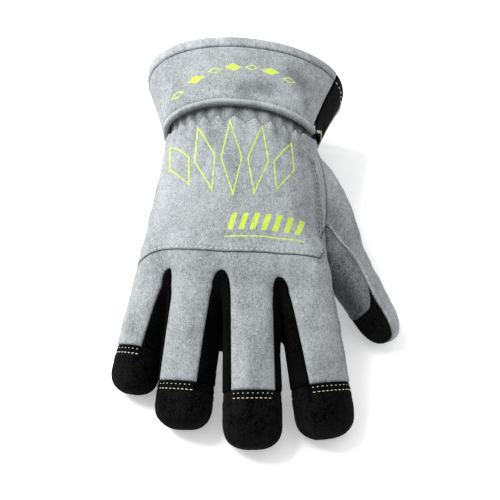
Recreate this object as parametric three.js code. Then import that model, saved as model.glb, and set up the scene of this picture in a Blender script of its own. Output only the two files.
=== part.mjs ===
// A padded work glove of grey suede with black suede fingertips, for the right hand, lying palm down.
// Fingers point to -Y, the cuff to +Y, the thumb to +X; the glove rests on its fingertips and cuff.
// Every piece is a sheet of leather with its own thickness; neighbours leave a narrow seam gap.
import * as THREE from 'three';

// Leading sizes in millimetres.
const HAND_W = 100;
const HAND_L = 100;
const KNUCKLE_H = 62;
const FINGER_L = 93;
const FINGER_W = 30;
const FINGER_H = 27;
const THUMB_L = 92;
const THUMB_W = 34;
const THUMB_H = 30;
const WRIST_Y = 119;
const CUFF_L = 52;
const RIM_W = 116;
const RIM_H = 72;
const HEM_L = 9;
const HEM_THICK = 4.6;
const WALL = 2.4;
const SEAM_GAP = 0.4;
const SCALLOP = 3.6;
const RECESS = 5.5;
const LIP_GAP = 1.5;
const ARCH_L = 8;
const BAND_TUCK = 7;
const FLOOR = 1.9;

// How far two rounded forms melt together where they meet.
const MELT_FINGERS = 1.5;
const MELT_PALM = 9;
const MELT_THUMB = 11;
const SQUARE = 2.6;

// Fingers from the little one to the index: root as shares of HAND_W, HAND_L and KNUCKLE_H; yaw, roll
// and droop (at root and tip) in degrees; length as share of FINGER_L; width and height (at root and
// tip) as shares of FINGER_W and FINGER_H; round and cap as shares of FINGER_W, measured from the tip.
const FINGERS = [
  { name: 'little', x: -0.385, y: 0.30, z: 0.56, yaw: [-17, -13], roll: [-24, -41], droop: [12, 33],
    length: 0.76, width: [0.86, 0.80], height: [0.92, 0.82], round: 0.42, cap: 0.80,
    back: [202, 45], palm: [202, 288] },
  { name: 'ring', x: -0.185, y: 0.26, z: 0.68, yaw: [-7, -7], roll: [-10, -26], droop: [12, 34],
    length: 0.96, width: [0.96, 0.98], height: [1.00, 0.93], round: 0.46, cap: 0.80,
    back: [135, 45], palm: [212, 300] },
  { name: 'middle', x: 0.078, y: 0.22, z: 0.72, yaw: [0.5, 0.5], roll: [0, 4], droop: [11, 34],
    length: 1.05, width: [0.98, 1.05], height: [1.02, 0.95], round: 0.50, cap: 0.98,
    back: [135, 45], palm: [225, 315] },
  { name: 'index', x: 0.345, y: 0.22, z: 0.68, yaw: [9, 9], roll: [4, 28], droop: [12, 34],
    length: 0.98, width: [0.98, 1.03], height: [1.02, 0.95], round: 0.50, cap: 0.92,
    back: [135, -22], palm: [240, 338] },
];
const THUMB = { x: 0.38, y: 0.86, z: 0.55, yaw: [24, 33], roll: [30, 38], droop: [9, 22],
  length: 1.07, width: [1.1, 0.58], height: [1.0, 0.64], round: 0.46, outer: [100, -120] };

// Sections of the hand from the wrist to the knuckles: distance along Y as share of HAND_L, centre x and
// half width as shares of HAND_W, centre height, rise and depth as shares of KNUCKLE_H, squareness.
const HAND = [
  { y: 1.30, x: 0.035, half: 0.425, z: 0.690, up: 0.475, down: 0.46, square: 2.2 },
  { y: 1.00, x: 0.025, half: 0.435, z: 0.665, up: 0.500, down: 0.44, square: 2.3 },
  { y: 0.75, x: 0.010, half: 0.465, z: 0.615, up: 0.515, down: 0.40, square: 2.4 },
  { y: 0.50, x: -0.008, half: 0.482, z: 0.580, up: 0.510, down: 0.34, square: 2.5 },
  { y: 0.35, x: -0.014, half: 0.482, z: 0.565, up: 0.485, down: 0.29, square: 2.6 },
  { y: 0.24, x: -0.018, half: 0.475, z: 0.565, up: 0.440, down: 0.26, square: 2.6 },
];
const HAND_END = 0.16;
const HAND_SLANT = 0.165;
const HAND_LEAN = 0.6;

// Crotches between the fingers on the back and on the palm, as shares of HAND_W and HAND_L.
const CROTCHES = [
  { back: [-0.352, 0.178], palm: [-0.362, 0.035] },
  { back: [-0.076, 0.125], palm: [-0.080, -0.055] },
  { back: [0.223, 0.084], palm: [0.235, -0.09] },
];

// Cuff sections from its lip (at 0) to its rim (at 1): centre as shares of HAND_W, CUFF_L and KNUCKLE_H,
// half width as share of RIM_W, rise and depth as shares of RIM_H, lean and turn in degrees.
const CUFF = [
  { at: 0, x: 0.036, y: 0.0, z: 0.750, half: 0.374, up: 0.375, down: 0.470, lean: 2, turn: -2, square: 2.2 },
  { at: 0.4, x: 0.044, y: 0.4, z: 0.700, half: 0.425, up: 0.402, down: 0.495, lean: 5, turn: -4, square: 2.1 },
  { at: 0.8, x: 0.052, y: 0.8, z: 0.620, half: 0.475, up: 0.440, down: 0.495, lean: 8, turn: -6, square: 2.1 },
  { at: 1, x: 0.056, y: 0.98, z: 0.585, half: 0.490, up: 0.455, down: 0.507, lean: 9, turn: -7, square: 2.1 },
];

// Seams round the hand and cuff in degrees, counted from the thumb side over the back.
const SEAM_LEFT = 192;
const SEAM_THUMB = 10;
const SEAM_PALM = -52;
const KNUCKLE_SEAM = { middle: 0.20, dip: 0.095, junction: 0.527 };
const CROTCH_UNDER = [0.37, 0.50, 0.25];
const STRIP = [-10, 22];

// Rows and columns of the sheets.
const COLS = 6;
const SIDE_COLS = 4;
const THUMB_COLS = 8;
const ROWS_HAND = 9;
const ROWS_KNUCKLE = 4;
const ROWS_ARCH = 4;
const ROWS_FINGER = 6;
const ROWS_TIP = 4;
const ROWS_CUFF = 5;
const ROWS_BAND = 3;

const GREY = { color: 0xb3b8ba, roughness: 0.93, metalness: 0 };
const GREY_SHADE = { color: 0xa3a9ac, roughness: 0.93, metalness: 0 };
const BLACK = { color: 0x121314, roughness: 0.9, metalness: 0 };

const rad = THREE.MathUtils.degToRad;
const lerp = THREE.MathUtils.lerp;
const clamp = THREE.MathUtils.clamp;
const point = (x, y, z) => new THREE.Vector3(x, y, z);
const power = (value, exponent) => Math.sign(value) * Math.abs(value) ** exponent;
const range = (count) => Array.from({ length: count }, (_, i) => i);

// Reads a table at a place between its rows, smoothly (cubic, with the slopes of its neighbours).
function readTable(rows, key, place, column) {
  const keys = rows.map((row) => row[key]);
  const rising = keys[keys.length - 1] > keys[0];
  const at = clamp(place, Math.min(...keys), Math.max(...keys));
  let k = 0;
  while (k < rows.length - 2 && (rising ? at > keys[k + 1] : at < keys[k + 1])) {
    k += 1;
  }
  const slope = (i) => {
    const a = Math.max(i - 1, 0);
    const b = Math.min(i + 1, rows.length - 1);
    return (rows[b][column] - rows[a][column]) / (keys[b] - keys[a]);
  };
  const span = keys[k + 1] - keys[k];
  const t = (at - keys[k]) / span;
  const start = (2 * t ** 3 - 3 * t ** 2 + 1) * rows[k][column] + (t ** 3 - 2 * t ** 2 + t) * span * slope(k);
  return start + (-2 * t ** 3 + 3 * t ** 2) * rows[k + 1][column] + (t ** 3 - t ** 2) * span * slope(k + 1);
}

// Signed measure of a rounded box section: negative inside, about the distance in millimetres near it.
function roundedBox(u, v, w, a, b, c, square) {
  const [au, av, aw] = [Math.abs(u) / a, Math.abs(v) / b, Math.abs(w) / c];
  const k = (au ** square + av ** square + aw ** square + 1e-9) ** (1 / square);
  const less = square - 1;
  const slope = Math.hypot(au ** less / a, av ** less / b, aw ** less / c) * k ** -less;
  return (k - 1) / Math.max(slope, 1e-3);
}

// Joins two measures with a soft hollow of the given width between them.
function melt(a, b, width) {
  const overlap = Math.max(width - Math.abs(a - b), 0) / width;
  return Math.min(a, b) - overlap * overlap * width / 4;
}

// A finger or thumb: an evenly bending centre line with a rounded section and a rounded end.
const TUBE_STEPS = 24;
const TUBE_ROOT = 16;
function makeTube(row, length, width, height) {
  const tube = { row, length: row.length * length, stations: [] };
  const centre = point(row.x * HAND_W, row.y * HAND_L, row.z * KNUCKLE_H);
  const step = tube.length / (TUBE_STEPS - 1);
  for (let i = 0; i < TUBE_STEPS; i += 1) {
    const pitch = rad(lerp(...row.droop, i / (TUBE_STEPS - 1)));
    const yaw = rad(lerp(...row.yaw, i / (TUBE_STEPS - 1)));
    const roll = rad(lerp(...row.roll, i / (TUBE_STEPS - 1)));
    const along = point(Math.sin(yaw) * Math.cos(pitch), -Math.cos(yaw) * Math.cos(pitch), -Math.sin(pitch));
    const side = point(Math.cos(yaw), Math.sin(yaw), 0);
    const up = along.clone().cross(side);
    const right = side.clone().multiplyScalar(Math.cos(roll)).addScaledVector(up, -Math.sin(roll));
    const top = up.clone().multiplyScalar(Math.cos(roll)).addScaledVector(side, Math.sin(roll));
    if (i > 0) {
      centre.addScaledVector(along, step / 2).addScaledVector(tube.stations[i - 1].along, step / 2);
    }
    tube.stations.push({ centre: centre.clone(), along, right, top });
  }
  tube.frame = (t) => {
    const place = clamp(t / step, 0, TUBE_STEPS - 1.001);
    const k = Math.floor(place);
    const [a, b] = [tube.stations[k], tube.stations[k + 1]];
    const mix = (name) => a[name].clone().lerp(b[name], place - k);
    return { centre: mix('centre'), along: mix('along'), right: mix('right'), top: mix('top') };
  };
  tube.size = (t) => {
    const share = clamp(t / tube.length, 0, 1);
    return [lerp(...row.width, share) * width / 2, lerp(...row.height, share) * height / 2];
  };
  tube.round = row.round * width;
  tube.local = (p) => {
    let nearest = 0;
    let least = Infinity;
    tube.stations.forEach(({ centre: c }, i) => {
      const d = (p.x - c.x) ** 2 + (p.y - c.y) ** 2 + (p.z - c.z) ** 2;
      if (d < least) {
        least = d;
        nearest = i;
      }
    });
    const station = tube.stations[nearest];
    const t = nearest * step + p.clone().sub(station.centre).dot(station.along);
    const frame = tube.frame(t);
    const offset = p.clone().sub(frame.centre);
    return [offset.dot(frame.right), offset.dot(frame.top), t];
  };
  tube.measure = (p) => {
    const [u, v, t] = tube.local(p);
    const [a, b] = tube.size(t);
    const beyond = Math.max(t - tube.length + tube.round, 0) / tube.round + Math.max(-t, 0) / TUBE_ROOT;
    return roundedBox(u, v, beyond * tube.round, a, b, tube.round, SQUARE);
  };
  // The skin at an angle round the tube (0 thumb side, 90 back) and a distance along it.
  tube.skin = (angle, t) => {
    const frame = tube.frame(Math.min(t, tube.length));
    const [a, b] = tube.size(t);
    const end = clamp((t - tube.length + tube.round) / tube.round, 0, 1);
    const shrink = (1 - end ** SQUARE) ** (1 / SQUARE);
    const u = a * shrink * power(Math.cos(rad(angle)), 2 / SQUARE);
    const v = b * shrink * power(Math.sin(rad(angle)), 2 / SQUARE);
    return frame.centre.addScaledVector(frame.right, u).addScaledVector(frame.top, v);
  };
  // The angle and distance along the tube that belong to a point.
  tube.place = (p) => {
    const [u, v, t] = tube.local(p);
    const [a, b] = tube.size(t);
    const angle = Math.atan2(power(v / b, SQUARE / 2), power(u / a, SQUARE / 2));
    return { p, angle: THREE.MathUtils.radToDeg(angle), t };
  };
  return tube;
}
const fingers = FINGERS.map((row) => makeTube(row, FINGER_L, FINGER_W, FINGER_H));
const thumb = makeTube(THUMB, THUMB_L, THUMB_W, THUMB_H);

// The hand's section at a distance along Y, and the hand itself with its slanting rounded front.
function handSection(y) {
  const read = (column) => readTable(HAND, 'y', y / HAND_L, column);
  return { x: read('x') * HAND_W, half: read('half') * HAND_W, z: read('z') * KNUCKLE_H,
    up: read('up') * KNUCKLE_H, down: read('down') * KNUCKLE_H, square: read('square') };
}
function handMeasure(p) {
  const s = handSection(p.y);
  const front = HAND[HAND.length - 1].y * HAND_L;
  const end = HAND_END * HAND_L;
  const lean = HAND_LEAN * Math.max(s.z + s.up * 0.6 - p.z, 0);
  const beyond = Math.max(front - p.y - HAND_SLANT * p.x - lean, 0);
  return roundedBox(p.x - s.x, p.z - s.z, beyond, s.half, p.z > s.z ? s.up : s.down, end, s.square);
}
function handSkin(angle, y) {
  const s = handSection(y);
  const rise = power(Math.sin(rad(angle)), 2 / s.square);
  return point(s.x + s.half * power(Math.cos(rad(angle)), 2 / s.square), y,
    s.z + (rise > 0 ? s.up : s.down) * rise);
}

// The whole glove up to the wrist as one measure, its outward direction, and the settling of a point on it.
function measure(p) {
  let d = fingers[0].measure(p);
  fingers.slice(1).forEach((finger) => {
    d = melt(d, finger.measure(p), MELT_FINGERS);
  });
  d = melt(d, handMeasure(p), MELT_PALM);
  return melt(d, thumb.measure(p), MELT_THUMB);
}
const PROBE = 0.3;
function slopeAt(p) {
  const slope = ['x', 'y', 'z'].map((axis) => {
    const [ahead, behind] = [p.clone(), p.clone()];
    ahead[axis] += PROBE;
    behind[axis] -= PROBE;
    return (measure(ahead) - measure(behind)) / (2 * PROBE);
  });
  return point(...slope);
}
const outward = (p) => slopeAt(p).normalize();
function settle(start) {
  const p = start.clone();
  for (let i = 0; i < 14; i += 1) {
    const d = measure(p);
    if (Math.abs(d) < 0.002) {
      break;
    }
    const slope = slopeAt(p);
    const steep = Math.max(slope.lengthSq(), 0.3);
    p.addScaledVector(slope, clamp(-d / steep, -3, 3));
  }
  return p;
}
// The last free point on the way from an outer point to an inner one.
function meet(outer, inner) {
  let [free, full] = [0, 1];
  for (let i = 1; i <= 40 && full === 1; i += 1) {
    if (measure(outer.clone().lerp(inner, i / 40)) < 0) {
      full = i / 40;
    } else {
      free = i / 40;
    }
  }
  for (let i = 0; i < 16; i += 1) {
    const middle = (free + full) / 2;
    if (measure(outer.clone().lerp(inner, middle)) < 0) {
      full = middle;
    } else {
      free = middle;
    }
  }
  return outer.clone().lerp(inner, free);
}

// Sheets: grids of points are welded into one skin, drawn in by half the seam gap, and given thickness.
function makeSheet(grids, normalAt, wall, lift = 0) {
  const points = [];
  const faces = [];
  const index = new Map();
  const weld = (p) => {
    const key = [p.x, p.y, p.z].map((value) => value.toFixed(3)).join();
    if (!index.has(key)) {
      index.set(key, points.length);
      points.push(p.clone());
    }
    return index.get(key);
  };
  const normalOf = ([a, b, c]) => points[b].clone().sub(points[a]).cross(points[c].clone().sub(points[a]));
  grids.forEach((grid) => {
    const own = [];
    for (let r = 0; r + 1 < grid.length; r += 1) {
      for (let c = 0; c + 1 < grid[r].length; c += 1) {
        const [a, b, d, e] = [grid[r][c], grid[r][c + 1], grid[r + 1][c + 1], grid[r + 1][c]].map(weld);
        own.push([a, b, d], [a, d, e]);
      }
    }
    const solid = own.filter(([a, b, c]) => a !== b && b !== c && a !== c);
    let facing = 0;
    solid.forEach((face) => {
      facing += normalOf(face).dot(normalAt(points[face[0]]));
    });
    faces.push(...(facing > 0 ? solid : solid.map(([a, b, c]) => [a, c, b])));
  });
  const border = new Map();
  faces.forEach(([a, b, c]) => {
    [[a, b], [b, c], [c, a]].forEach(([from, to]) => {
      const back = `${to},${from}`;
      if (border.has(back)) {
        border.delete(back);
      } else {
        border.set(`${from},${to}`, [from, to]);
      }
    });
  });
  const edges = [...border.values()];
  const normals = points.map((p) => normalAt(p));
  const inset = new Map();
  edges.forEach(([from, to]) => {
    const side = points[to].clone().sub(points[from]).normalize();
    [from, to].forEach((i) => {
      const inward = normals[i].clone().cross(side).normalize();
      inset.set(i, [...(inset.get(i) ?? []), inward]);
    });
  });
  inset.forEach((sides, i) => {
    const sum = sides.reduce((total, side) => total.add(side), point(0, 0, 0));
    const reach = sides.length * SEAM_GAP / 2 / Math.max(sum.length() * sum.length() / sides.length, 0.5);
    points[i].addScaledVector(sum, reach);
  });
  const outer = points.map((p, i) => p.clone().addScaledVector(normals[i], lift));
  const inner = points.map((p, i) => p.clone().addScaledVector(normals[i], lift - wall));
  outer.forEach((p, i) => {
    const sunk = Math.max(FLOOR - p.z, 0);
    p.z += sunk;
    inner[i].z += sunk;
  });
  const count = points.length;
  const all = [...faces, ...faces.map(([a, b, c]) => [a + count, c + count, b + count])];
  edges.forEach(([from, to]) => {
    all.push([to, from, from + count], [to, from + count, to + count]);
  });
  return toGeometry([...outer, ...inner], all);
}
function toGeometry(points, faces) {
  const geometry = new THREE.BufferGeometry();
  geometry.setAttribute('position', new THREE.Float32BufferAttribute(points.flatMap((p) => p.toArray()), 3));
  geometry.setIndex(faces.flat());
  return geometry.toNonIndexed();
}

// Crotch tops, on the back and on the palm, and the point midway down each crotch.
const HIGH = 90;
const apexes = CROTCHES.map((crotch) => {
  const at = ([x, y], from) => {
    const inside = handSkin(90, y).z * 0.65;
    return meet(point(x * HAND_W, y * HAND_L, from), point(x * HAND_W, y * HAND_L, inside));
  };
  return { back: at(crotch.back, HIGH), palm: at(crotch.palm, -HIGH / 3) };
});

// Distances along a finger at which its rows lie: a rounded arch first, then even steps to the cap.
const ROWS_TONGUE = ROWS_ARCH + ROWS_FINGER;
function rowShare(r) {
  return clamp((r - ROWS_ARCH) / ROWS_FINGER, 0, 1);
}
const capStart = (i) => fingers[i].length - FINGERS[i].cap * FINGER_W;
const OUTER_START = [0.22, 0.22];

// Rounds the corner of an arch: first across, then along, in ROWS_ARCH steps, or along in even steps.
function cornerRound(from, to, right, r, even = false) {
  const turn = rad(90 * r / ROWS_ARCH);
  const advance = even ? r / ROWS_ARCH : 1 - Math.cos(turn);
  const across = right.clone().multiplyScalar(to.clone().sub(from).dot(right));
  const along = to.clone().sub(from).sub(across);
  return from.clone().addScaledVector(across, Math.sin(turn)).addScaledVector(along, advance);
}

// The glove's skin straight out from a finger's centre line at an angle, for backs and palms of fingers.
const CAST = 1.45;
function castOut(tube, angle, t) {
  const { centre } = tube.frame(t);
  return meet(tube.skin(angle, t).sub(centre).multiplyScalar(CAST).add(centre), centre);
}
const settleOn = (tube, angle, t) => settle(tube.skin(angle, t));

// A place on the edge of a finger's back or palm strip; side 0 is the little-finger side, 1 the thumb's.
function edgeOf(i, side, face, r) {
  const tube = fingers[i];
  const angle = FINGERS[i][face][side];
  const apex = apexes[side === 0 ? i - 1 : i]?.[face];
  const start = apex ? tube.local(apex)[2] : OUTER_START[side] * FINGER_L;
  const bend = start + ARCH_L;
  if (apex && r < ROWS_ARCH) {
    const corner = tube.place(cornerRound(apex, tube.skin(angle, bend), tube.frame(bend).right, r));
    return { ...corner, p: r === 0 ? apex : castOut(tube, corner.angle, corner.t) };
  }
  const t = r < ROWS_ARCH ? start + ARCH_L * (1 - Math.cos(rad(90 * r / ROWS_ARCH)))
    : lerp(bend, capStart(i), rowShare(r));
  return { p: castOut(tube, angle, t), angle, t };
}

// A row across a tube from one place to another, following it round; angles count up from the lowest.
function rowAcross(tube, from, to, lowest, columns, skinAt = settleOn) {
  const [a, b] = [from, to].map(({ angle }) => (angle - lowest + 720) % 360 + lowest);
  return range(columns + 1).map((c) => {
    if (c === 0 || c === columns) {
      return c === 0 ? from.p : to.p;
    }
    return skinAt(tube, lerp(a, b, c / columns), lerp(from.t, to.t, c / columns));
  });
}
const LOWEST = { back: -90, palm: 90 };
const tongues = ['back', 'palm'].map((face) => fingers.map((tube, i) => range(ROWS_TONGUE + 1)
  .map((r) => rowAcross(tube, edgeOf(i, 0, face, r), edgeOf(i, 1, face, r), LOWEST[face], COLS, castOut))));

// Rows between two given rows, settled on the glove.
function between(first, last, rows) {
  return range(rows + 1).map((r) => {
    if (r === 0 || r === rows) {
      return r === 0 ? first : last;
    }
    return first.map((p, c) => settle(p.clone().lerp(last[c], r / rows)));
  });
}
const crotchRow = (face) => tongues[face].flatMap((rows, i) => (i === 0 ? rows[0] : rows[0].slice(1)));
const backCrotch = crotchRow(0);
const palmCrotch = crotchRow(1);

// The knuckle seam over the back with its upward corner at the thumb, and its like on the palm.
const WIDE = 4 * COLS;
const junction = settle(handSkin(SEAM_THUMB, KNUCKLE_SEAM.junction * HAND_L));
const under = settle(point(CROTCH_UNDER[0] * HAND_W, CROTCH_UNDER[1] * HAND_L, CROTCH_UNDER[2] * KNUCKLE_H));
function knuckleSeam(c) {
  const angle = lerp(SEAM_LEFT, SEAM_THUMB, c / WIDE);
  const aside = (handSkin(angle, KNUCKLE_SEAM.middle * HAND_L).x / HAND_W - 0.1) / 0.58;
  const y = KNUCKLE_SEAM.middle + KNUCKLE_SEAM.dip * aside ** 2;
  return [angle, c === WIDE ? KNUCKLE_SEAM.junction : y];
}
function wristShare(c) {
  const gathered = clamp(Math.sin(Math.PI * (c - 2) / (WIDE - 3)) * 2, 0, 1);
  const depth = RECESS + (c % 2 === 1 ? SCALLOP : 0);
  return (WRIST_Y - LIP_GAP - gathered * depth) / HAND_L;
}
const handRows = range(ROWS_HAND + 1).map((r) => range(WIDE + 1).map((c) => {
  const [angle, y] = knuckleSeam(c);
  return settle(handSkin(angle, lerp(wristShare(c), y, r / ROWS_HAND) * HAND_L));
}));
const seamRow = handRows[ROWS_HAND];
const knuckleRows = between(seamRow, backCrotch, ROWS_KNUCKLE);

// The palm: from the wrist to a row that ends under the thumb crotch, then on to the finger crotches.
const palmRows = range(ROWS_HAND + 1).map((r) => range(WIDE + 1).map((c) => {
  if (c === 0) {
    return handRows[r][0];
  }
  if (r === ROWS_HAND && c === WIDE) {
    return under;
  }
  const angle = lerp(SEAM_LEFT, 360 + SEAM_PALM, c / WIDE);
  const wrist = lerp(wristShare(0), wristShare(WIDE), c / WIDE);
  const low = lerp(knuckleSeam(0)[1], CROTCH_UNDER[1], c / WIDE);
  const start = handSkin(angle, lerp(wrist, low, r / ROWS_HAND) * HAND_L);
  if (c > WIDE - 4) {
    const pull = (1 - (WIDE - c) / 4) * (r / ROWS_HAND) ** 2;
    const last = handSkin(angle, low * HAND_L);
    start.addScaledVector(under.clone().sub(last), pull);
  }
  return settle(start);
}));
const palmLast = palmRows[ROWS_HAND];
const palmKnuckles = between(palmLast, palmCrotch, ROWS_KNUCKLE).map((row, r) => {
  row[0] = knuckleRows[r][0];
  return row;
});

// The thumb: rows from the wrist to the junction, then along the thumb and over its tip.
const [pipeAngle, underAngle] = THUMB.outer;
const joins = [junction, under].map((p) => thumb.local(p)[2]);
const thumbEnd = thumb.length - thumb.round;
const ROWS_THUMB = 9;
function thumbT(r, share) {
  if (r <= ROWS_THUMB) {
    return lerp(lerp(...joins, share), thumbEnd, r / ROWS_THUMB);
  }
  return thumbEnd + thumb.round * Math.sin(rad(90 * (r - ROWS_THUMB) / ROWS_TIP)) ** (2 / SQUARE);
}
const LAST_THUMB = ROWS_THUMB + ROWS_TIP;
const thumbTip = settle(thumb.skin(0, thumb.length));
function thumbEdge(side, r) {
  if (r === 0) {
    return thumb.place(side === 0 ? junction : under);
  }
  const first = thumb.place(side === 0 ? junction : under).angle;
  const angle = lerp(first, [pipeAngle, underAngle][side], Math.min(r / 4, 1));
  const t = thumbT(r, side);
  return { p: settle(thumb.skin(angle, t)), angle, t };
}
function thumbRow(r, lowest, columns) {
  if (r === LAST_THUMB) {
    return range(columns + 1).map(() => thumbTip.clone());
  }
  return rowAcross(thumb, thumbEdge(0, r), thumbEdge(1, r), lowest, columns);
}
const thumbRows = range(LAST_THUMB + 1).map((r) => thumbRow(r, -180, THUMB_COLS));
const rootRows = range(ROWS_HAND + 1).map((r) => range(THUMB_COLS + 1).map((c) => {
  if (c === 0 || c === THUMB_COLS) {
    return c === 0 ? handRows[r][WIDE] : palmRows[r][WIDE];
  }
  const wrist = handSkin(lerp(SEAM_THUMB, SEAM_PALM, c / THUMB_COLS), wristShare(0) * HAND_L);
  if (r === ROWS_HAND) {
    return thumbRows[0][c];
  }
  const away = outward(wrist).add(outward(thumbRows[0][c]));
  const share = r / ROWS_HAND;
  return settle(wrist.lerp(thumbRows[0][c], share).addScaledVector(away, 5 * Math.sin(Math.PI * share)));
}));

// The gusset between thumb and hand, and the black patch inside the thumb's tip.
const webRow = range(SIDE_COLS + 1).map((k) => {
  if (k === 0 || k === SIDE_COLS) {
    return k === 0 ? junction : under;
  }
  const middle = junction.clone().lerp(under, k / SIDE_COLS);
  const ahead = point(0.25, -1, 0);
  return meet(middle.clone().addScaledVector(ahead, 22), middle.clone().addScaledVector(ahead, -14));
});
function innerThumbRow(r) {
  const row = thumbRow(r, 0, SIDE_COLS);
  if (r === 0 || r >= ROWS_THUMB) {
    return r === 0 ? webRow : row;
  }
  const ends = [thumbEdge(0, r).angle, thumbEdge(1, r).angle + 360];
  return row.map((p, k) => {
    if (k % SIDE_COLS === 0) {
      return p;
    }
    const web = thumb.place(webRow[k]);
    const angle = lerp((web.angle + 360) % 360, lerp(...ends, k / SIDE_COLS), Math.min(r / 3, 1));
    return settle(thumb.skin(angle, lerp(web.t, thumbEnd, r / ROWS_THUMB)));
  });
}
const HEM_ROW = 8;
const innerRows = range(LAST_THUMB + 1).map(innerThumbRow);
const webEnd = backCrotch[WIDE];
const handArm = range(ROWS_KNUCKLE + 1).map((r) => {
  if (r === 0) {
    return webRow;
  }
  const [top, low] = [knuckleRows[r][WIDE], palmKnuckles[r][WIDE]];
  return range(SIDE_COLS + 1).map((k) => {
    if (k === 0 || k === SIDE_COLS || r === ROWS_KNUCKLE) {
      return r === ROWS_KNUCKLE ? webEnd : [top, low][k / SIDE_COLS];
    }
    return r < ROWS_KNUCKLE - 1 ? webRow[k] : settle(top.clone().lerp(low, k / SIDE_COLS));
  });
});

// A black gusset between two fingers, from the cap of one round the crotch to the cap of the next.
function gussetRows(crotch) {
  const ends = apexes[crotch];
  const ahead = fingers[crotch].frame(0).along.clone().add(fingers[crotch + 1].frame(0).along).normalize();
  const middle = range(SIDE_COLS + 1).map((k) => {
    if (k === 0 || k === SIDE_COLS) {
      return k === 0 ? ends.back : ends.palm;
    }
    const share = ends.back.clone().lerp(ends.palm, k / SIDE_COLS);
    return settle(meet(share.clone().addScaledVector(ahead, 16), share.clone().addScaledVector(ahead, -12)));
  });
  const arm = (i, side) => {
    const tube = fingers[i];
    const lowest = side === 0 ? 90 : -180;
    const [high, low] = ['back', 'palm'].map((face) => (FINGERS[i][face][side] - lowest + 720) % 360 + lowest);
    const { right } = tube.frame(ARCH_L);
    return range(ROWS_TONGUE + 1).map((r) => middle.map((from, k) => {
      if (r === 0 || k % SIDE_COLS === 0) {
        return r === 0 ? from : edgeOf(i, side, k === 0 ? 'back' : 'palm', r).p;
      }
      const angle = lerp(high, low, k / SIDE_COLS);
      const [, , near] = tube.local(from);
      const start = near + Math.min(ARCH_L, 0.4 * (capStart(i) - near));
      return settle(r < ROWS_ARCH ? cornerRound(from, tube.skin(angle, start), right, r, true)
        : tube.skin(angle, lerp(start, capStart(i), rowShare(r))));
    }));
  };
  return [...arm(crotch, 1).reverse(), ...arm(crotch + 1, 0).slice(1)];
}

// A fingertip cap: the ring of angles at its open edge matches the strips and gussets, then the tip.
function capRows(i) {
  const { back, palm } = FINGERS[i];
  const tube = fingers[i];
  const stretch = (from, to, columns) => range(columns).map((c) => lerp(from, to, c / columns));
  const angles = [...stretch(back[0], back[1], COLS)];
  if (i < fingers.length - 1) {
    angles.push(...stretch(back[1], palm[1] - 360, SIDE_COLS));
  }
  angles.push(...stretch(palm[1] - 360, palm[0] - 360, COLS));
  if (i > 0) {
    angles.push(...stretch(palm[0] - 360, back[0] - 360, SIDE_COLS));
  }
  angles.push(back[0] - 360);
  const start = capStart(i);
  const round = tube.length - tube.round;
  const straight = 2;
  const rows = range(straight + 1).map((r) => lerp(start, round, r / straight));
  range(ROWS_TIP).forEach((r) => {
    rows.push(round + tube.round * Math.sin(rad(90 * (r + 1) / ROWS_TIP)) ** (2 / SQUARE));
  });
  const pole = settle(tube.skin(0, tube.length));
  return rows.map((t, r) => (r === rows.length - 1 ? angles.map(() => pole)
    : angles.map((angle, c) => settle(tube.skin(c === angles.length - 1 ? angles[0] : angle, t)))));
}

// The cuff's skin at an angle round it and a place from lip to rim, and its outward direction.
function cuffSkin(angle, at) {
  const read = (column) => readTable(CUFF, 'at', at, column);
  const square = 2 / read('square');
  const across = read('half') * RIM_W * power(Math.cos(rad(angle)), square);
  const rise = power(Math.sin(rad(angle)), square);
  const height = (rise > 0 ? read('up') : read('down')) * RIM_H * rise;
  const y = WRIST_Y + read('y') * CUFF_L;
  return point(read('x') * HAND_W + across,
    y + height * Math.sin(rad(read('lean'))) + across * Math.sin(rad(read('turn'))),
    read('z') * KNUCKLE_H + height * Math.cos(rad(read('lean'))));
}
const placeOf = new Map();
const keyOf = (p) => [p.x, p.y, p.z].map((value) => value.toFixed(3)).join();
function cuffPoint(angle, at) {
  const p = cuffSkin(angle, at);
  placeOf.set(keyOf(p), [angle, at]);
  return p;
}
function cuffOutward(p) {
  const [angle, at] = placeOf.get(keyOf(p));
  const round = cuffSkin(angle + 1, at).sub(cuffSkin(angle - 1, at));
  const along = cuffSkin(angle, Math.min(at + 0.02, 1)).sub(cuffSkin(angle, Math.max(at - 0.02, 0)));
  return round.cross(along).normalize().negate();
}
function cuffGrid(from, to, columns, low, high, rows) {
  return range(rows + 1).map((r) => range(columns + 1)
    .map((c) => cuffPoint(lerp(from, to, c / columns), lerp(low, high, r / rows))));
}
const HEM_AT = 1 - HEM_L / CUFF_L;

// The gathered band under the scalloped edge of the hand and the lip of the cuff.
const bandGrid = range(ROWS_BAND + 1).map((r) => range(45).map((c) => {
  const y = lerp(WRIST_Y - RECESS - SCALLOP - BAND_TUCK, WRIST_Y + BAND_TUCK, r / ROWS_BAND);
  return settle(handSkin(360 * (c % 44) / 44, y));
}));

const glove = new THREE.Group();
glove.name = 'glove';
function add(name, geometry, look) {
  const mesh = new THREE.Mesh(geometry, new THREE.MeshStandardMaterial(look));
  mesh.name = name;
  glove.add(mesh);
}
add('hand_back_panel', makeSheet([handRows], outward, WALL), GREY);
add('finger_back_panel', makeSheet([knuckleRows, ...tongues[0]], outward, WALL), GREY);
add('palm_panel', makeSheet([palmRows, palmKnuckles, ...tongues[1]], outward, WALL), GREY);
['little_ring', 'ring_middle', 'middle_index'].forEach((name, i) => {
  add(`gusset_${name}`, makeSheet([gussetRows(i)], outward, WALL), BLACK);
});
FINGERS.forEach(({ name }, i) => {
  add(`fingertip_cap_${name}`, makeSheet([capRows(i)], outward, WALL), BLACK);
});
add('thumb_outer_panel', makeSheet([rootRows, thumbRows], outward, WALL), GREY);
add('thumb_inner_panel', makeSheet([innerRows.slice(0, HEM_ROW + 1), handArm], outward, WALL), GREY_SHADE);
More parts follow.
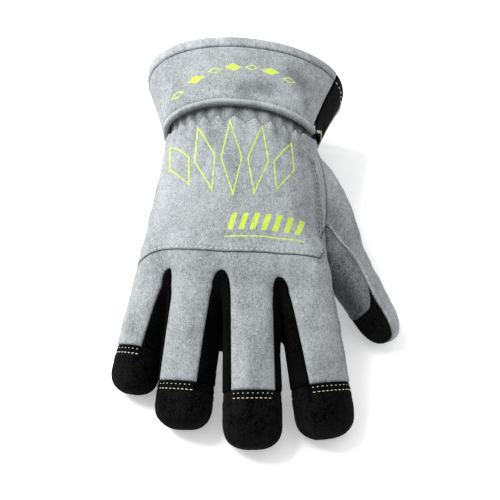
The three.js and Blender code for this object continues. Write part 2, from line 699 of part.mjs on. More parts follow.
add('thumb_tip_patch', makeSheet([innerRows.slice(HEM_ROW)], outward, WALL), BLACK);
add('wrist_band', makeSheet([bandGrid], outward, WALL, -WALL - 2 * SEAM_GAP), GREY_SHADE);
add('cuff_back_panel', makeSheet([cuffGrid(STRIP[1], SEAM_LEFT, 16, 0, HEM_AT, ROWS_CUFF)], cuffOutward,
  WALL, 0.5), GREY);
add('cuff_side_strip', makeSheet([cuffGrid(STRIP[0], STRIP[1], 3, 0, 1, ROWS_CUFF + 1)], cuffOutward,
  WALL, 0.5), BLACK);
add('cuff_palm_panel', makeSheet([cuffGrid(SEAM_LEFT, 360 + STRIP[0], 16, 0, HEM_AT, ROWS_CUFF)],
  cuffOutward, WALL, 0.5), GREY);
add('cuff_hem', makeSheet([cuffGrid(STRIP[1], 360 + STRIP[0], 32, HEM_AT, 1, 2)], cuffOutward,
  HEM_THICK, 1.4), GREY);

const box = new THREE.Box3().setFromObject(glove);
glove.position.set(-(box.min.x + box.max.x) / 2, -(box.min.y + box.max.y) / 2, -box.min.z);
glove.updateMatrixWorld(true);
export default glove;
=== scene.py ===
# A padded work glove of grey suede with black suede fingertips, for the right hand. It lies palm down on
# its fingertips and on the rim of its cuff: fingers to -Y, cuff to +Y, thumb to +X. Lengths are worked
# out in millimetres in the glove's own place and put into the frame's metres when a mesh is made.
import math

import bpy
import numpy as np
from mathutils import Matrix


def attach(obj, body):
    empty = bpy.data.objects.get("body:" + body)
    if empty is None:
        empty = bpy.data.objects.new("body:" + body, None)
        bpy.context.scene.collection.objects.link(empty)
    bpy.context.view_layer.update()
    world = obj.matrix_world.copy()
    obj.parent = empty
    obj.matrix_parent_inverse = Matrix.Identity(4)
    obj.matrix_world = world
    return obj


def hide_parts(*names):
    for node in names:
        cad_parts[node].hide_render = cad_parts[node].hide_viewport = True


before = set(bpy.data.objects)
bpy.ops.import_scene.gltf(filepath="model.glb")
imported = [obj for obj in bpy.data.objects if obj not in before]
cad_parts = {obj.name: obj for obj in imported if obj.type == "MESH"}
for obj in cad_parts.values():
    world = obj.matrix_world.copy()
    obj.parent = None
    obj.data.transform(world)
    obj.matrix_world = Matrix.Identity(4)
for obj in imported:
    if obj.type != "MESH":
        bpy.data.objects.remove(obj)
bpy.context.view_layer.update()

# The back of the hand is one panel of napped split suede. It runs from the gathered wrist, whose edge is
# pinked, to the knuckle seam, and turns down over both sides of the hand. It is cut to the glove's one
# soft form: a hand that thins to the knuckles, with four fingers and a thumb melted onto it.
HAND_W, HAND_L, KNUCKLE_H = 100.0, 100.0, 62.0
WRIST_Y, FLOOR, WALL, SEAM_GAP = 119.0, 1.9, 2.4, 0.4
PLACE = np.array([-11.438, -54.032, -FLOOR])
SPACING = 1.0
SCALLOP, RECESS, LIP_GAP = 3.6, 5.5, 1.5
SEAM_LEFT, SEAM_THUMB, SEAM_PALM = 192.0, 10.0, -52.0
HAND_END, HAND_SLANT, HAND_LEAN = 0.16, 0.165, 0.6
HAND = np.array([
    # y, x, half width, z, rise, depth, squareness
    (0.24, -0.018, 0.475, 0.565, 0.440, 0.26, 2.6),
    (0.35, -0.014, 0.482, 0.565, 0.485, 0.29, 2.6),
    (0.50, -0.008, 0.482, 0.580, 0.510, 0.34, 2.5),
    (0.75, 0.010, 0.465, 0.615, 0.515, 0.40, 2.4),
    (1.00, 0.025, 0.435, 0.665, 0.500, 0.44, 2.3),
    (1.30, 0.035, 0.425, 0.690, 0.475, 0.46, 2.2),
])


def power(value, exponent):
    """Keeps the sign and raises the size to the exponent."""
    return np.sign(value) * np.abs(value) ** exponent


def mixed(a, b, share):
    """a at share 0, b at share 1, even between them."""
    return a + (b - a) * share


def paired(angle, place):
    """An angle and a place as arrays of one shape."""
    return np.broadcast_arrays(np.asarray(angle, float), np.asarray(place, float))


def unit(ways):
    """Each direction divided by its own length."""
    return ways / np.maximum(np.linalg.norm(ways, axis=-1, keepdims=True), 1e-9)


def oval(angle, square):
    """Across and up, from -1 to 1, on an oval: the angle's cosine and sine to the power 2/square."""
    turn = np.radians(angle)
    return power(np.cos(turn), 2 / square), power(np.sin(turn), 2 / square)


def read_table(rows, place, column):
    """A table's column at a place between its rows: cubic, with the mean slope of the rows beside it."""
    at, values = rows[:, 0], rows[:, column]
    row = np.arange(len(at))
    before, after = np.maximum(row - 1, 0), np.minimum(row + 1, row[-1])
    slope = (values[after] - values[before]) / (at[after] - at[before])
    place = np.clip(place, at[0], at[-1])
    k = np.clip(np.searchsorted(at, place) - 1, 0, len(at) - 2)
    span = at[k + 1] - at[k]
    t = (place - at[k]) / span
    start = (2 * t**3 - 3 * t**2 + 1) * values[k] + (t**3 - 2 * t**2 + t) * span * slope[k]
    return start + (-2 * t**3 + 3 * t**2) * values[k + 1] + (t**3 - t**2) * span * slope[k + 1]


def rounded_box(u, v, w, a, b, c, square):
    """Signed measure of a rounded box: k is the root of the summed powers of |u|/a, |v|/b and |w|/c;
    (k - 1) over its own slope is negative inside and about the distance in millimetres near the skin."""
    au, av, aw = np.abs(u) / a, np.abs(v) / b, np.abs(w) / c
    k = (au**square + av**square + aw**square + 1e-9) ** (1 / square)
    less = square - 1
    slope = np.sqrt((au**less / a) ** 2 + (av**less / b) ** 2 + (aw**less / c) ** 2) * k**-less
    return (k - 1) / np.maximum(slope, 1e-3)


def hand_section(y):
    """The hand's section at a distance along Y: centre x, half width, centre z, rise, depth, squareness."""
    sizes = (HAND_W, HAND_W, KNUCKLE_H, KNUCKLE_H, KNUCKLE_H, 1)
    return [read_table(HAND, y / HAND_L, column + 1) * size for column, size in enumerate(sizes)]


def hand_measure(p):
    """The hand as a row of rounded sections; its front end is rounded too, and slants and leans."""
    x, y, z = p[..., 0], p[..., 1], p[..., 2]
    cx, half, cz, rise, depth, square = hand_section(y)
    lean = HAND_LEAN * np.maximum(cz + 0.6 * rise - z, 0)
    beyond = np.maximum(HAND[0, 0] * HAND_L - y - HAND_SLANT * x - lean, 0)
    up = np.where(z > cz, rise, depth)
    return rounded_box(x - cx, z - cz, beyond, half, up, HAND_END * HAND_L, square)


def hand_skin(angle, y):
    """A point on the hand's section at an angle (0 thumb side, 90 back) and a distance along Y."""
    angle, y = paired(angle, y)
    cx, half, cz, rise, depth, square = hand_section(y)
    across, up = oval(angle, square)
    return np.stack([cx + half * across, y, cz + np.where(up > 0, rise, depth) * up], -1)


STATIONS = 24


class Tube:
    """A finger or thumb: an evenly bending centre line with a rounded section and a rounded end."""

    def __init__(self, root, yaw, roll, droop, length, width, height, rounding, cap=0.0,
                 back=None, palm=None):
        self.length, self.rounding, self.square = length, rounding, 2.6
        self.width, self.height, self.cap = width, height, length - cap
        self.edges = {"back": back, "palm": palm}
        share = np.linspace(0, 1, STATIONS)
        self.step = length / (STATIONS - 1)
        yaw, roll, pitch = (np.radians(mixed(*ends, share)) for ends in (yaw, roll, droop))
        level = np.cos(pitch)
        self.along = np.stack([np.sin(yaw) * level, -np.cos(yaw) * level, -np.sin(pitch)], 1)
        side = np.stack([np.cos(yaw), np.sin(yaw), 0 * yaw], 1)
        up = np.cross(self.along, side)
        self.right = side * np.cos(roll)[:, None] - up * np.sin(roll)[:, None]
        self.top = up * np.cos(roll)[:, None] + side * np.sin(roll)[:, None]
        moves = (self.along[1:] + self.along[:-1]) * self.step / 2
        self.centre = np.array(root) + np.vstack([np.zeros(3), np.cumsum(moves, 0)])

    def frame(self, t):
        """Centre, right and top directions at a distance along the tube, even between its stations."""
        place = np.clip(t / self.step, 0, STATIONS - 1.001)
        k = place.astype(int)
        f = (place - k)[..., None]
        return [mixed(part[k], part[k + 1], f) for part in (self.centre, self.right, self.top)]

    def size(self, t):
        """Half width and half height at a distance along the tube."""
        share = np.clip(t / self.length, 0, 1)
        return mixed(*self.width, share) / 2, mixed(*self.height, share) / 2

    def local(self, p):
        """Offsets to the right and to the top of the centre line, and distance along it, of points."""
        near = np.argmin((self.centre**2).sum(1) - 2 * p @ self.centre.T, axis=-1)
        t = near * self.step + ((p - self.centre[near]) * self.along[near]).sum(-1)
        centre, right, top = self.frame(t)
        return ((p - centre) * right).sum(-1), ((p - centre) * top).sum(-1), t

    def measure(self, p):
        """Signed measure of the tube with its rounded end, and of its root."""
        u, v, t = self.local(p)
        a, b = self.size(t)
        beyond = np.maximum(t - self.length + self.rounding, 0) + np.maximum(-t, 0) / 16 * self.rounding
        return rounded_box(u, v, beyond, a, b, self.rounding, self.square)

    def skin(self, angle, t):
        """A point on the tube at an angle (0 thumb side, 90 back) and a distance along it."""
        angle, t = paired(angle, t)
        centre, right, top = self.frame(np.minimum(t, self.length))
        a, b = self.size(t)
        end = np.clip((t - self.length + self.rounding) / self.rounding, 0, 1)
        shrink = (1 - end**self.square) ** (1 / self.square)
        across, up = oval(angle, self.square)
        return centre + right * (a * shrink * across)[..., None] + top * (b * shrink * up)[..., None]

    def over_tip(self, turn):
        """Distance along the rounded end at a turn of 0 to 90 degrees over it."""
        return self.rounding * np.sin(np.radians(turn)) ** (2 / self.square)

    def angle(self, p):
        """The angle round the tube and the distance along it that belong to points."""
        u, v, t = self.local(p)
        a, b = self.size(t)
        turn = np.arctan2(power(v / b, self.square / 2), power(u / a, self.square / 2))
        return np.degrees(turn), t


FINGER_L, FINGER_W, FINGER_H = 93.0, 30.0, 27.0
FINGERS = {
    # root; yaw, roll and droop at root and tip; length; width and height at root and tip; round and cap;
    # the angles at which the back strip and the palm strip end
    "little": ((-0.385, 0.30, 0.56), (-17, -13), (-24, -41), (12, 33), 0.76, (0.86, 0.80), (0.92, 0.82),
               0.42, 0.80, (202, 45), (202, 288)),
    "ring": ((-0.185, 0.26, 0.68), (-7, -7), (-10, -26), (12, 34), 0.96, (0.96, 0.98), (1.00, 0.93),
             0.46, 0.80, (135, 45), (212, 300)),
    "middle": ((0.078, 0.22, 0.72), (0.5, 0.5), (0, 4), (11, 34), 1.05, (0.98, 1.05), (1.02, 0.95),
               0.50, 0.98, (135, 45), (225, 315)),
    "index": ((0.345, 0.22, 0.68), (9, 9), (4, 28), (12, 34), 0.98, (0.98, 1.03), (1.02, 0.95),
              0.50, 0.92, (135, -22), (240, 338)),
}
OVER = np.array([HAND_W, HAND_L, KNUCKLE_H])
fingers = [Tube(np.array(root) * OVER, yaw, roll, droop, length * FINGER_L, np.array(width) * FINGER_W,
                np.array(height) * FINGER_H, rounding * FINGER_W, cap * FINGER_W, back, palm)
           for root, yaw, roll, droop, length, width, height, rounding, cap, back, palm in FINGERS.values()]
THUMB_L, THUMB_W, THUMB_H = 92.0, 34.0, 30.0
thumb = Tube(np.array((0.38, 0.86, 0.55)) * OVER, (24, 33), (30, 38), (9, 22), 1.07 * THUMB_L,
             np.array((1.1, 0.58)) * THUMB_W, np.array((1.0, 0.64)) * THUMB_H, 0.46 * THUMB_W)


def melt(a, b, width):
    """Joins two measures: the lower one, less a soft hollow of the given width where they are alike."""
    overlap = np.maximum(width - np.abs(a - b), 0) / width
    return np.minimum(a, b) - overlap**2 * width / 4


def measure(p):
    """The whole glove up to the wrist: fingers melted together, then with the hand, then the thumb."""
    d = fingers[0].measure(p)
    for finger in fingers[1:]:
        d = melt(d, finger.measure(p), 1.5)
    return melt(melt(d, hand_measure(p), 9), thumb.measure(p), 11)


CORNERS = np.array([(1, -1, -1), (-1, -1, 1), (-1, 1, -1), (1, 1, 1)]) * 0.3


def slope_at(p):
    """The measure's slope, from four points at the corners of a small tetrahedron."""
    return sum(measure(p + corner)[..., None] * corner for corner in CORNERS) / (4 * 0.3**2)


def outward(p):
    """The direction straight out of the glove's skin."""
    return unit(slope_at(p))


def settle(p, rounds=7):
    """Brings points onto the skin by Newton steps along the slope, none longer than 3 mm."""
    for _ in range(rounds):
        slope = slope_at(p)
        steep = np.maximum((slope**2).sum(-1), 0.3)
        p = p + slope * np.clip(-measure(p) / steep, -3, 3)[..., None]
    return p


def meet(outer, inner):
    """Where the way from outer points to inner ones first meets the skin: steps, then halvings."""
    free, full = np.zeros(outer.shape[:-1]), np.ones(outer.shape[:-1])
    for share in np.arange(1, 25) / 24:
        inside = measure(mixed(outer, inner, share)) < 0
        free = np.where((full == 1) & ~inside, share, free)
        full = np.where((full == 1) & inside, share, full)
    for _ in range(9):
        middle = (free + full) / 2
        inside = measure(mixed(outer, inner, middle[..., None])) < 0
        free, full = np.where(inside, free, middle), np.where(inside, middle, full)
    return mixed(outer, inner, free[..., None])


CLOSE_LINES = np.array([0.3, 0.7, 1.2, 1.8])


def lines(low, high, length, edges=(True, True)):
    """Grid lines from low to high over a length in mm, closer together at the edges that are marked."""
    shares = np.linspace(0, 1, max(int(round(length / SPACING)), 3) + 1)
    close = CLOSE_LINES / length
    for marked in edges[::-1]:
        shares = 1 - shares[::-1]
        if marked:
            shares = np.concatenate([[0], close, shares[shares > close[-1] * 1.3]])
    return mixed(low, high, shares)


WIDE = 24.0
HAND_ROWS = 9.0
KNUCKLE_SEAM = {"middle": 0.20, "dip": 0.095, "centre": 0.1, "half": 0.58, "corner": 21.625,
                "junction": 0.527}
junction = settle(hand_skin(SEAM_THUMB, KNUCKLE_SEAM["junction"] * HAND_L))
under = settle(np.array([0.37, 0.50, 0.25]) * OVER)


def knuckle_seam(c):
    """Angle and distance of the knuckle seam: a shallow arc that turns up to the thumb's junction."""
    angle = mixed(SEAM_LEFT, SEAM_THUMB, c / WIDE)
    middle, dip, centre, half, corner, end = KNUCKLE_SEAM.values()
    x = hand_skin(mixed(SEAM_LEFT, SEAM_THUMB, np.minimum(c, corner) / WIDE), middle * HAND_L)[..., 0]
    low = middle + dip * ((x / HAND_W - centre) / half) ** 2
    return angle, mixed(low, end, np.maximum(c - corner, 0) / (WIDE - corner))


def smooth(value):
    """0 below 0, 1 above 1, and a soft step between."""
    value = np.clip(value, 0, 1)
    return value * value * (3 - 2 * value)


TOOTH = {"notch": 10.75, "pitch": 1.5}


def teeth(c):
    """The pinked wrist edge at a column: a zigzag from 0 at a tip to 1 in a notch, and how strong it is."""
    place = (c - TOOTH["notch"]) / TOOTH["pitch"]
    notch = 1 - 2 * np.abs(place - np.round(place))
    return notch, smooth((c - 2) / 3) * (0.3 + 0.7 * smooth((c - 6) / 4)) * smooth((21 - c) / 2)


def wrist_line(c):
    """Distance of the hand's wrist edge: cut into teeth, and drawn back over the gathers and further
    towards the thumb, where it slants like the cuff's lip."""
    gathered = np.clip(np.sin(np.pi * np.clip((c - 2) / (WIDE - 3), 0, 1)) * 2, 0, 1)
    notch, strength = teeth(c)
    drawn = 6.3 * smooth((c - 9) / 10) + 1.5 * smooth((c - 20) / 2) - 3.5 * smooth((c - 22.5) / 1.5)
    return WRIST_Y - LIP_GAP - gathered * RECESS - SCALLOP * notch * strength - drawn


RIPPLES = np.random.default_rng(7)


def ripple(p, wavelength, count=14):
    """Soft lumps: the mean of sine waves in many directions, of about the given wavelength."""
    ways = unit(RIPPLES.normal(size=(count, 3)))
    ways *= 2 * np.pi / (wavelength * RIPPLES.uniform(0.7, 1.5, size=(count, 1)))
    return np.sin(p @ ways.T + RIPPLES.uniform(0, 2 * np.pi, count)).sum(-1) / math.sqrt(count)


def operator(operation, reflected=False):
    """A method that adds a Math node for two values; reflected, it takes them in the other order."""
    return lambda self, other: self.math(operation, *((other, self) if reflected else (self, other)))


class Value:
    """One output of a node. Arithmetic on it, with numbers or other values, adds Math nodes."""

    def __init__(self, finish, socket):
        self.finish, self.socket = finish, socket

    def math(self, operation, *values):
        return self.finish.node("ShaderNodeMath", {"operation": operation}, dict(enumerate(values)))

    __add__, __radd__ = operator("ADD"), operator("ADD", True)
    __sub__, __rsub__ = operator("SUBTRACT"), operator("SUBTRACT", True)
    __mul__, __rmul__ = operator("MULTIPLY"), operator("MULTIPLY", True)
    __truediv__, __rtruediv__ = operator("DIVIDE"), operator("DIVIDE", True)
    __lt__ = operator("LESS_THAN")

    def __abs__(self):
        return self.math("ABSOLUTE", self)

    def clamp(self):
        return self.math("MINIMUM", self.math("MAXIMUM", self, 0.0), 1.0)

    def output(self, index):
        return Value(self.finish, self.socket.node.outputs[index])


class Finish:
    """A material with one Principled surface, and one way to add any other node to it."""

    def __init__(self, name, **constants):
        self.material = bpy.data.materials.new(name)
        self.material.use_nodes = True
        self.tree = self.material.node_tree
        self.surface = self.tree.nodes["Principled BSDF"]
        for socket, value in constants.items():
            self.surface.inputs[socket.replace("_", " ")].default_value = value

    def node(self, kind, settings=None, links=None, out=0):
        node = self.tree.nodes.new(kind)
        for name, value in (settings or {}).items():
            setattr(node, name, value)
        for name, value in (links or {}).items():
            self.link(value, node.inputs[name])
        return Value(self, node.outputs[out])

    def noise(self, vector, scale, detail, distortion=0.0, roughness=0.6):
        links = {"Vector": vector, "Scale": scale, "Detail": detail, "Roughness": roughness,
                 "Distortion": distortion}
        return self.node("ShaderNodeTexNoise", {}, links)

    def blend(self, share, first, last):
        links = {0: share, 6: first, 7: last}
        return self.node("ShaderNodeMix", {"data_type": "RGBA"}, links, out=2)

    def bump(self, height, strength, distance):
        links = {"Strength": strength, "Distance": distance, "Height": height}
        self.wear("Normal", self.node("ShaderNodeBump", {}, links))

    def link(self, value, socket):
        if isinstance(value, Value):
            self.tree.links.new(value.socket, socket)
        else:
            socket.default_value = value

    def wear(self, socket, value):
        self.link(value, self.surface.inputs[socket])


def suede(name, dark, light, sheen=0.12, contrast=1.0, artwork=None):
    """Napped suede: brushed patches, mottling, fibres and grain, each less its mean, times a share and the
    contrast, between a dark and a light colour. Sheet edges are darker. Hollows get painted shade and
    crests a painted highlight; marks are darker, as painted shade in their creases and as brushed nap. The
    bump is soft and uneven. artwork adds a print."""
    finish = Finish(name, Metallic=0.0, Sheen_Weight=sheen, Sheen_Roughness=0.6, Specular_IOR_Level=sheen)
    place = finish.node("ShaderNodeTexCoord", out=3)
    stroke = {"Vector": place, "Rotation": (0, 0, 0.5), "Scale": (1, 0.45, 1)}
    brushed = finish.node("ShaderNodeMapping", {}, stroke)
    patches, mottle = finish.noise(brushed, 45, 3, 0.8), finish.noise(place, 330, 4, 0.5)
    fibre, grain = finish.noise(brushed, 800, 3, 1.2), finish.noise(place, 1500, 2)
    edge, shade_and_nap_tone = (finish.node("ShaderNodeAttribute", {"attribute_name": attribute}, out=2)
                    for attribute in ("edge", "shade_and_nap"))
    tone = (patches - 0.5) * 1.1 + (mottle - 0.5) * 0.45 + (fibre - 0.5) * 1.2 + (grain - 0.5) * 1.7
    # Painted shade in hollows and marks and a painted highlight on crests come from a point attribute;
    # sheet edges are darker.
    tone = (tone * contrast + 0.55 - shade_and_nap_tone * (0.5 + mottle) - (1 - edge / 1.2).clamp() * 0.3).clamp()
    color = finish.blend(tone, (*dark, 1), (*light, 1))
    if artwork:
        color = artwork(finish, place, color, fibre)
    finish.wear("Base Color", color)
    finish.wear("Roughness", 0.86 + (mottle - 0.5) * 0.15)
    finish.bump(fibre * 0.6 + grain * 0.4 + mottle * 0.6, 0.7, 0.0007)
    return finish.material


PRINT = (0.42, 0.53, 0.050, 1)


def printed(finish, color, mask, speckle):
    """Lays the yellow-green print over a colour where the mask is 1, worn thin in fine speckles."""
    worn = mask * (0.35 + (speckle - 0.36) * 6).clamp()
    return finish.blend(worn.clamp(), color, PRINT)


def glove_place(finish, place):
    """X and Y in the glove's own millimetres, from object coordinates."""
    split = finish.node("ShaderNodeSeparateXYZ", {}, {"Vector": place})
    return split * 1000 - float(PLACE[0]), split.output(1) * 1000 - float(PLACE[1])


def lozenge(x, y, at, turn, length, width):
    """Distance outside a lozenge: |along|/length + |across|/width, less 1, times its own slope."""
    sine, cosine = math.sin(math.radians(turn)), math.cos(math.radians(turn))
    along = abs((x - at[0]) * cosine + (y - at[1]) * sine)
    across = abs((y - at[1]) * cosine - (x - at[0]) * sine)
    return (along / length + across / width - 1) * (length * width / math.hypot(length, width))


PRINT_LINE = 0.36
FAN = (
    # centre, turn, half length of each lozenge
    ((-31, 82), 108, 18), ((-17, 81), 100, 23), ((-2.5, 80), 92, 25), ((12, 79), 84, 23),
    ((26, 77), 76, 18),
)


def back_print(finish, place, color, speckle):
    """Five long lozenges in thin outline, fanned from the fingers, over a row of short slanted bars."""
    x, y = glove_place(finish, place)
    mask = 0.0
    for at, turn, length in FAN:
        mask = mask + (abs(lozenge(x, y, at, turn, length, 5.6)) < PRINT_LINE)
    u = x - y * 0.3 + 15
    bars = (abs(u - 21) < 21) * (u.math("FLOORED_MODULO", u, 6.0) < 2.9) * (abs(y - 38.5) < 5)
    line = (abs(x - 15) < 21) * (abs(y - 29.5) < 0.4)
    return printed(finish, color, (mask + bars + line).clamp(), speckle)


GREY_DARK, GREY_LIGHT = np.array([(0.100, 0.109, 0.115), (0.330, 0.349, 0.361)])
grey_suede = suede("grey_suede", GREY_DARK, GREY_LIGHT)
back_suede = suede("printed_grey_suede", GREY_DARK, GREY_LIGHT, artwork=back_print)


def make(name, points, faces, material, nodes=()):
    """A smooth mesh from points in the glove's millimetres, on its one body, in place of any nodes."""
    mesh = bpy.data.meshes.new(name)
    mesh.from_pydata(((points + PLACE) / 1000).tolist(), [], faces)
    mesh.polygons.foreach_set("use_smooth", np.ones(len(mesh.polygons), bool))
    mesh.materials.append(material)
    piece = bpy.data.objects.new(name, mesh)
    bpy.context.scene.collection.objects.link(piece)
    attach(piece, "root")
    if nodes:
        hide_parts(*nodes)
    return mesh


skins = {}


def panel(name, nodes, grids, material, wall=WALL, lift=0.0, lumps=0.22, drop=1.0, width=1.5,
          marks=()):
    """A sheet of leather: welded grids, each with its heights and perhaps its normals, are the skin. Each
    point moves out along its normal by the lift, its own height and soft lumps, and near the sheet's
    edge it turns in on a quarter circle of the drop and width. The inner side lies a wall's thickness
    below. Points under the floor are pressed flat onto it. Crests get a painted highlight and hollows
    painted shade. Each mark is a crease between the skin's nearest points to two: its radius, depth and
    darkening, which is painted shade in the crease and darker brushed nap."""
    flat = np.concatenate([points.reshape(-1, 3) for points, _, _ in grids])
    heights = np.concatenate([np.broadcast_to(h, points.shape[:-1]).ravel() for points, h, _ in grids])
    _, first, weld = np.unique(np.round(flat, 2), axis=0, return_index=True, return_inverse=True)
    weld = weld.ravel()
    p, height = flat[first], heights[first]
    if grids[0][2] is None:
        normal = outward(p)
    else:
        normal = np.concatenate([given.reshape(-1, 3) for _, _, given in grids])[first]
    quads, start = [], 0
    for points, _, _ in grids:
        rows, columns = points.shape[:2]
        index = weld[start:start + rows * columns].reshape(rows, columns)
        start += rows * columns
        own = np.stack([index[:-1, :-1], index[:-1, 1:], index[1:, 1:], index[1:, :-1]], -1).reshape(-1, 4)
        facing = np.cross(p[own[:, 2]] - p[own[:, 0]], p[own[:, 3]] - p[own[:, 1]])
        quads.append(own if (facing * normal[own[:, 0]]).sum() > 0 else own[:, ::-1])
    quads = np.concatenate(quads)
    following = np.roll(quads, -1, 1)
    sides = np.stack([quads.ravel(), following.ravel()], 1)
    sides = sides[sides[:, 0] != sides[:, 1]]
    count = len(p)
    alone = ~np.isin(sides[:, 0] * count + sides[:, 1], sides[:, 1] * count + sides[:, 0])
    border = sides[alone]
    along = unit(p[border[:, 1]] - p[border[:, 0]])
    inset, shared = np.zeros_like(p), np.zeros(count)
    for end in (0, 1):
        inward = np.cross(normal[border[:, end]], along)
        np.add.at(inset, border[:, end], inward)
        np.add.at(shared, border[:, end], 1)
    reach = (inset**2).sum(1) / np.maximum(shared, 1)
    p = p + inset * (SEAM_GAP / 2 / np.maximum(reach, 0.5) * (shared > 0))[:, None]
    rim = np.concatenate([mixed(p[border[:, 0]], p[border[:, 1]], share) for share in (0, 0.34, 0.67)])
    away = np.concatenate([np.sqrt(((part[:, None] - rim) ** 2).sum(-1).min(1)) for part in
                           np.array_split(p, max(len(p) // 1500, 1))])
    turn = 1 - np.sqrt(np.maximum(1 - (1 - np.minimum(away / width, 1)) ** 2, 0))
    swell = lumps * (ripple(p, 17) + 0.4 * ripple(p, 6)) * np.minimum(away / 4, 1)
    # Painted shade in the hollows and a painted highlight on the crests, from the heights.
    shade_and_nap = -0.5 * np.clip(height, -1, 0.4)
    # Each mark's darkening is painted shade in its crease, and also darker brushed nap.
    for first_end, last_end, radius, depth, tone in marks:
        a, b = (p[((p - end) ** 2).sum(1).argmin()] for end in (first_end, last_end))
        share = np.clip((p - a) @ (b - a) / max(((b - a) ** 2).sum(), 1e-6), 0, 1)
        near = np.exp(-((p - a - share[:, None] * (b - a)) ** 2).sum(1) / radius**2)
        swell, shade_and_nap = swell - depth * near, shade_and_nap + tone * near
    outer = p + normal * (lift + height - drop * turn + swell)[:, None]
    inner = p + normal * (lift - wall)
    sunk = np.maximum(FLOOR - outer[:, 2], 0)
    outer[:, 2] += sunk
    inner[:, 2] += sunk
    strips = np.stack([border[:, 1], border[:, 0], border[:, 0] + count, border[:, 1] + count], 1)
    faces = np.concatenate([quads, quads[:, ::-1] + count, strips]).tolist()
    faces = [face for face in (tuple(dict.fromkeys(face)) for face in faces) if len(face) > 2]
    mesh = make(name, np.concatenate([outer, inner]), faces, material, nodes)
    for attribute, values in (("edge", np.minimum(away, 9)), ("shade_and_nap", shade_and_nap)):
        mesh.attributes.new(attribute, "FLOAT", "POINT").data.foreach_set("value", np.tile(values, 2))
    skins[name] = (outer, normal)


HAND_ROW_MM, HAND_COLUMN_MM = 9.5, 5.5
KNUCKLE_STITCH, DOUBLE_ROW = 1.7, 2.2
hand_c = lines(0, WIDE, 192)
hand_r = lines(0, HAND_ROWS, 92)


def hand_rows(r, c):
    """The back of the hand between its wrist edge (r 0) and the knuckle seam (r 9)."""
    angle, y = knuckle_seam(c)
    return settle(hand_skin(angle, mixed(wrist_line(c), y * HAND_L, r / HAND_ROWS)))


def side_line(r):
    """Column of the double row of stitches down the thumb's side of the panel."""
    return 20.9 + 0.24 * r


def hump(distance, width):
    """A soft hump: e to the power of minus the square of distance over width."""
    return np.exp(-(distance / width) ** 2)


def groove(distance, at):
    """The dent that a row of stitches pulls into the leather, at a distance in mm from a seam."""
    return -0.5 * hump(distance - at, 0.8)


back_grid = hand_rows(hand_r[:, None], hand_c[None])
notch, strength = teeth(hand_c[None])
reach = mixed(1.7, 0.9, smooth((hand_c[None] - 6) / 3))
folds = strength * (0.35 - 1.15 * notch) * np.exp(-hand_r[:, None] / reach)
overlap = 0.3 * hump(HAND_ROWS - hand_r, 0.5)[:, None]
rows = groove((HAND_ROWS - hand_r[:, None]) * HAND_ROW_MM, KNUCKLE_STITCH)
beside = np.abs(hand_c[None] - side_line(hand_r[:, None])) * HAND_COLUMN_MM
rows = rows + (groove(beside, 0.0) + groove(beside, DOUBLE_ROW)) * (hand_r[:, None] > 1.8)
BACK_MARKS = (
    # from, to, radius, depth, darker by painted shade and brushed nap
    ((-12, 96, 70), (-20, 74, 68), 3.2, 0.5, 0.22),
    ((-22, 90, 66), (-28, 66, 63), 4.5, 0.5, 0.12),
    ((24, 100, 69), (36, 88, 63), 5.0, 0.4, 0.26),
    ((-43, 84, 52), (-45, 60, 50), 6.0, 0.5, 0.10),
)
panel("hand_back", ["hand_back_panel"], [(back_grid, folds + overlap + rows, None)],
      back_suede, drop=0.7, marks=BACK_MARKS)


def sew(name, runs, skin, thread, slot, length=2.0, gap=1.3, radius=0.36, turns=(0.0,), sink=0.05):
    """Stitches one after another along runs of points: rods with six sides and pointed ends, laid on the
    nearest place of a dressed skin. Each is turned from the run by the next of the turns in degrees."""
    outer, normals = (np.concatenate([skins[part][k] for part in skin]) for k in (0, 1))
    centres, ways = [], []
    for run in runs:
        steps = np.linalg.norm(np.diff(run, axis=0), axis=1)
        travelled = np.concatenate([[0], np.cumsum(steps)])
        at = np.arange(length / 2, travelled[-1] - length / 2, length + gap)
        here, there = (np.stack([np.interp(at + ahead, travelled, run[:, axis]) for axis in range(3)], 1)
                       for ahead in (-0.4, 0.4))
        centres.append((here + there) / 2)
        ways.append(there - here)
    centres, ways = np.concatenate(centres), np.concatenate(ways)
    near = np.argmin((outer**2).sum(1) - 2 * centres @ outer.T, axis=1)
    up = normals[near]
    centres = centres + up * (((outer[near] - centres) * up).sum(1) - sink)[:, None]
    ways = unit(ways - up * (ways * up).sum(1)[:, None])
    turn = np.radians(np.resize(turns, len(ways)))[:, None]
    ways = ways * np.cos(turn) + np.cross(up, ways) * np.sin(turn)
    side = np.cross(up, ways)
    round6 = np.radians(np.arange(0, 360, 60))
    shape = [(-length / 2, 0, 0)]
    for along, share in ((-0.42, 0.75), (0, 1), (0.42, 0.75)):
        ring = radius * share
        shape += [(along * length, ring * math.cos(t), ring * math.sin(t)) for t in round6]
    shape = np.array(shape + [(length / 2, 0, 0)])
    points = centres[:, None] + (shape[:, :1] * ways[:, None] + shape[:, 1:2] * side[:, None]
                                 + shape[:, 2:] * up[:, None])
    faces = [(0, 1 + (k + 1) % 6, 1 + k) for k in range(6)]
    faces += [(1 + 6 * ring + k, 1 + 6 * ring + (k + 1) % 6, 7 + 6 * ring + (k + 1) % 6, 7 + 6 * ring + k)
              for ring in (0, 1) for k in range(6)]
    faces += [(19, 13 + k, 13 + (k + 1) % 6) for k in range(6)]
    starts = 20 * np.arange(len(points))
    faces = [tuple(start + corner for corner in face) for start in starts.tolist() for face in faces]
    make(name, points.reshape(-1, 3), faces, thread)


def yarn(name, dark, light):
    """Spun thread: fine plies between two colours, and a small bump."""
    finish = Finish(name, Metallic=0.0, Specular_IOR_Level=0.3)
    place = finish.node("ShaderNodeTexCoord", out=3)
    ply = finish.noise(place, 1400, 2, roughness=0.5)
    finish.wear("Base Color", finish.blend(ply, (*dark, 1), (*light, 1)))
    finish.wear("Roughness", 0.6 + ply * 0.3)
    finish.bump(ply, 0.4, 0.0002)
    return finish.material


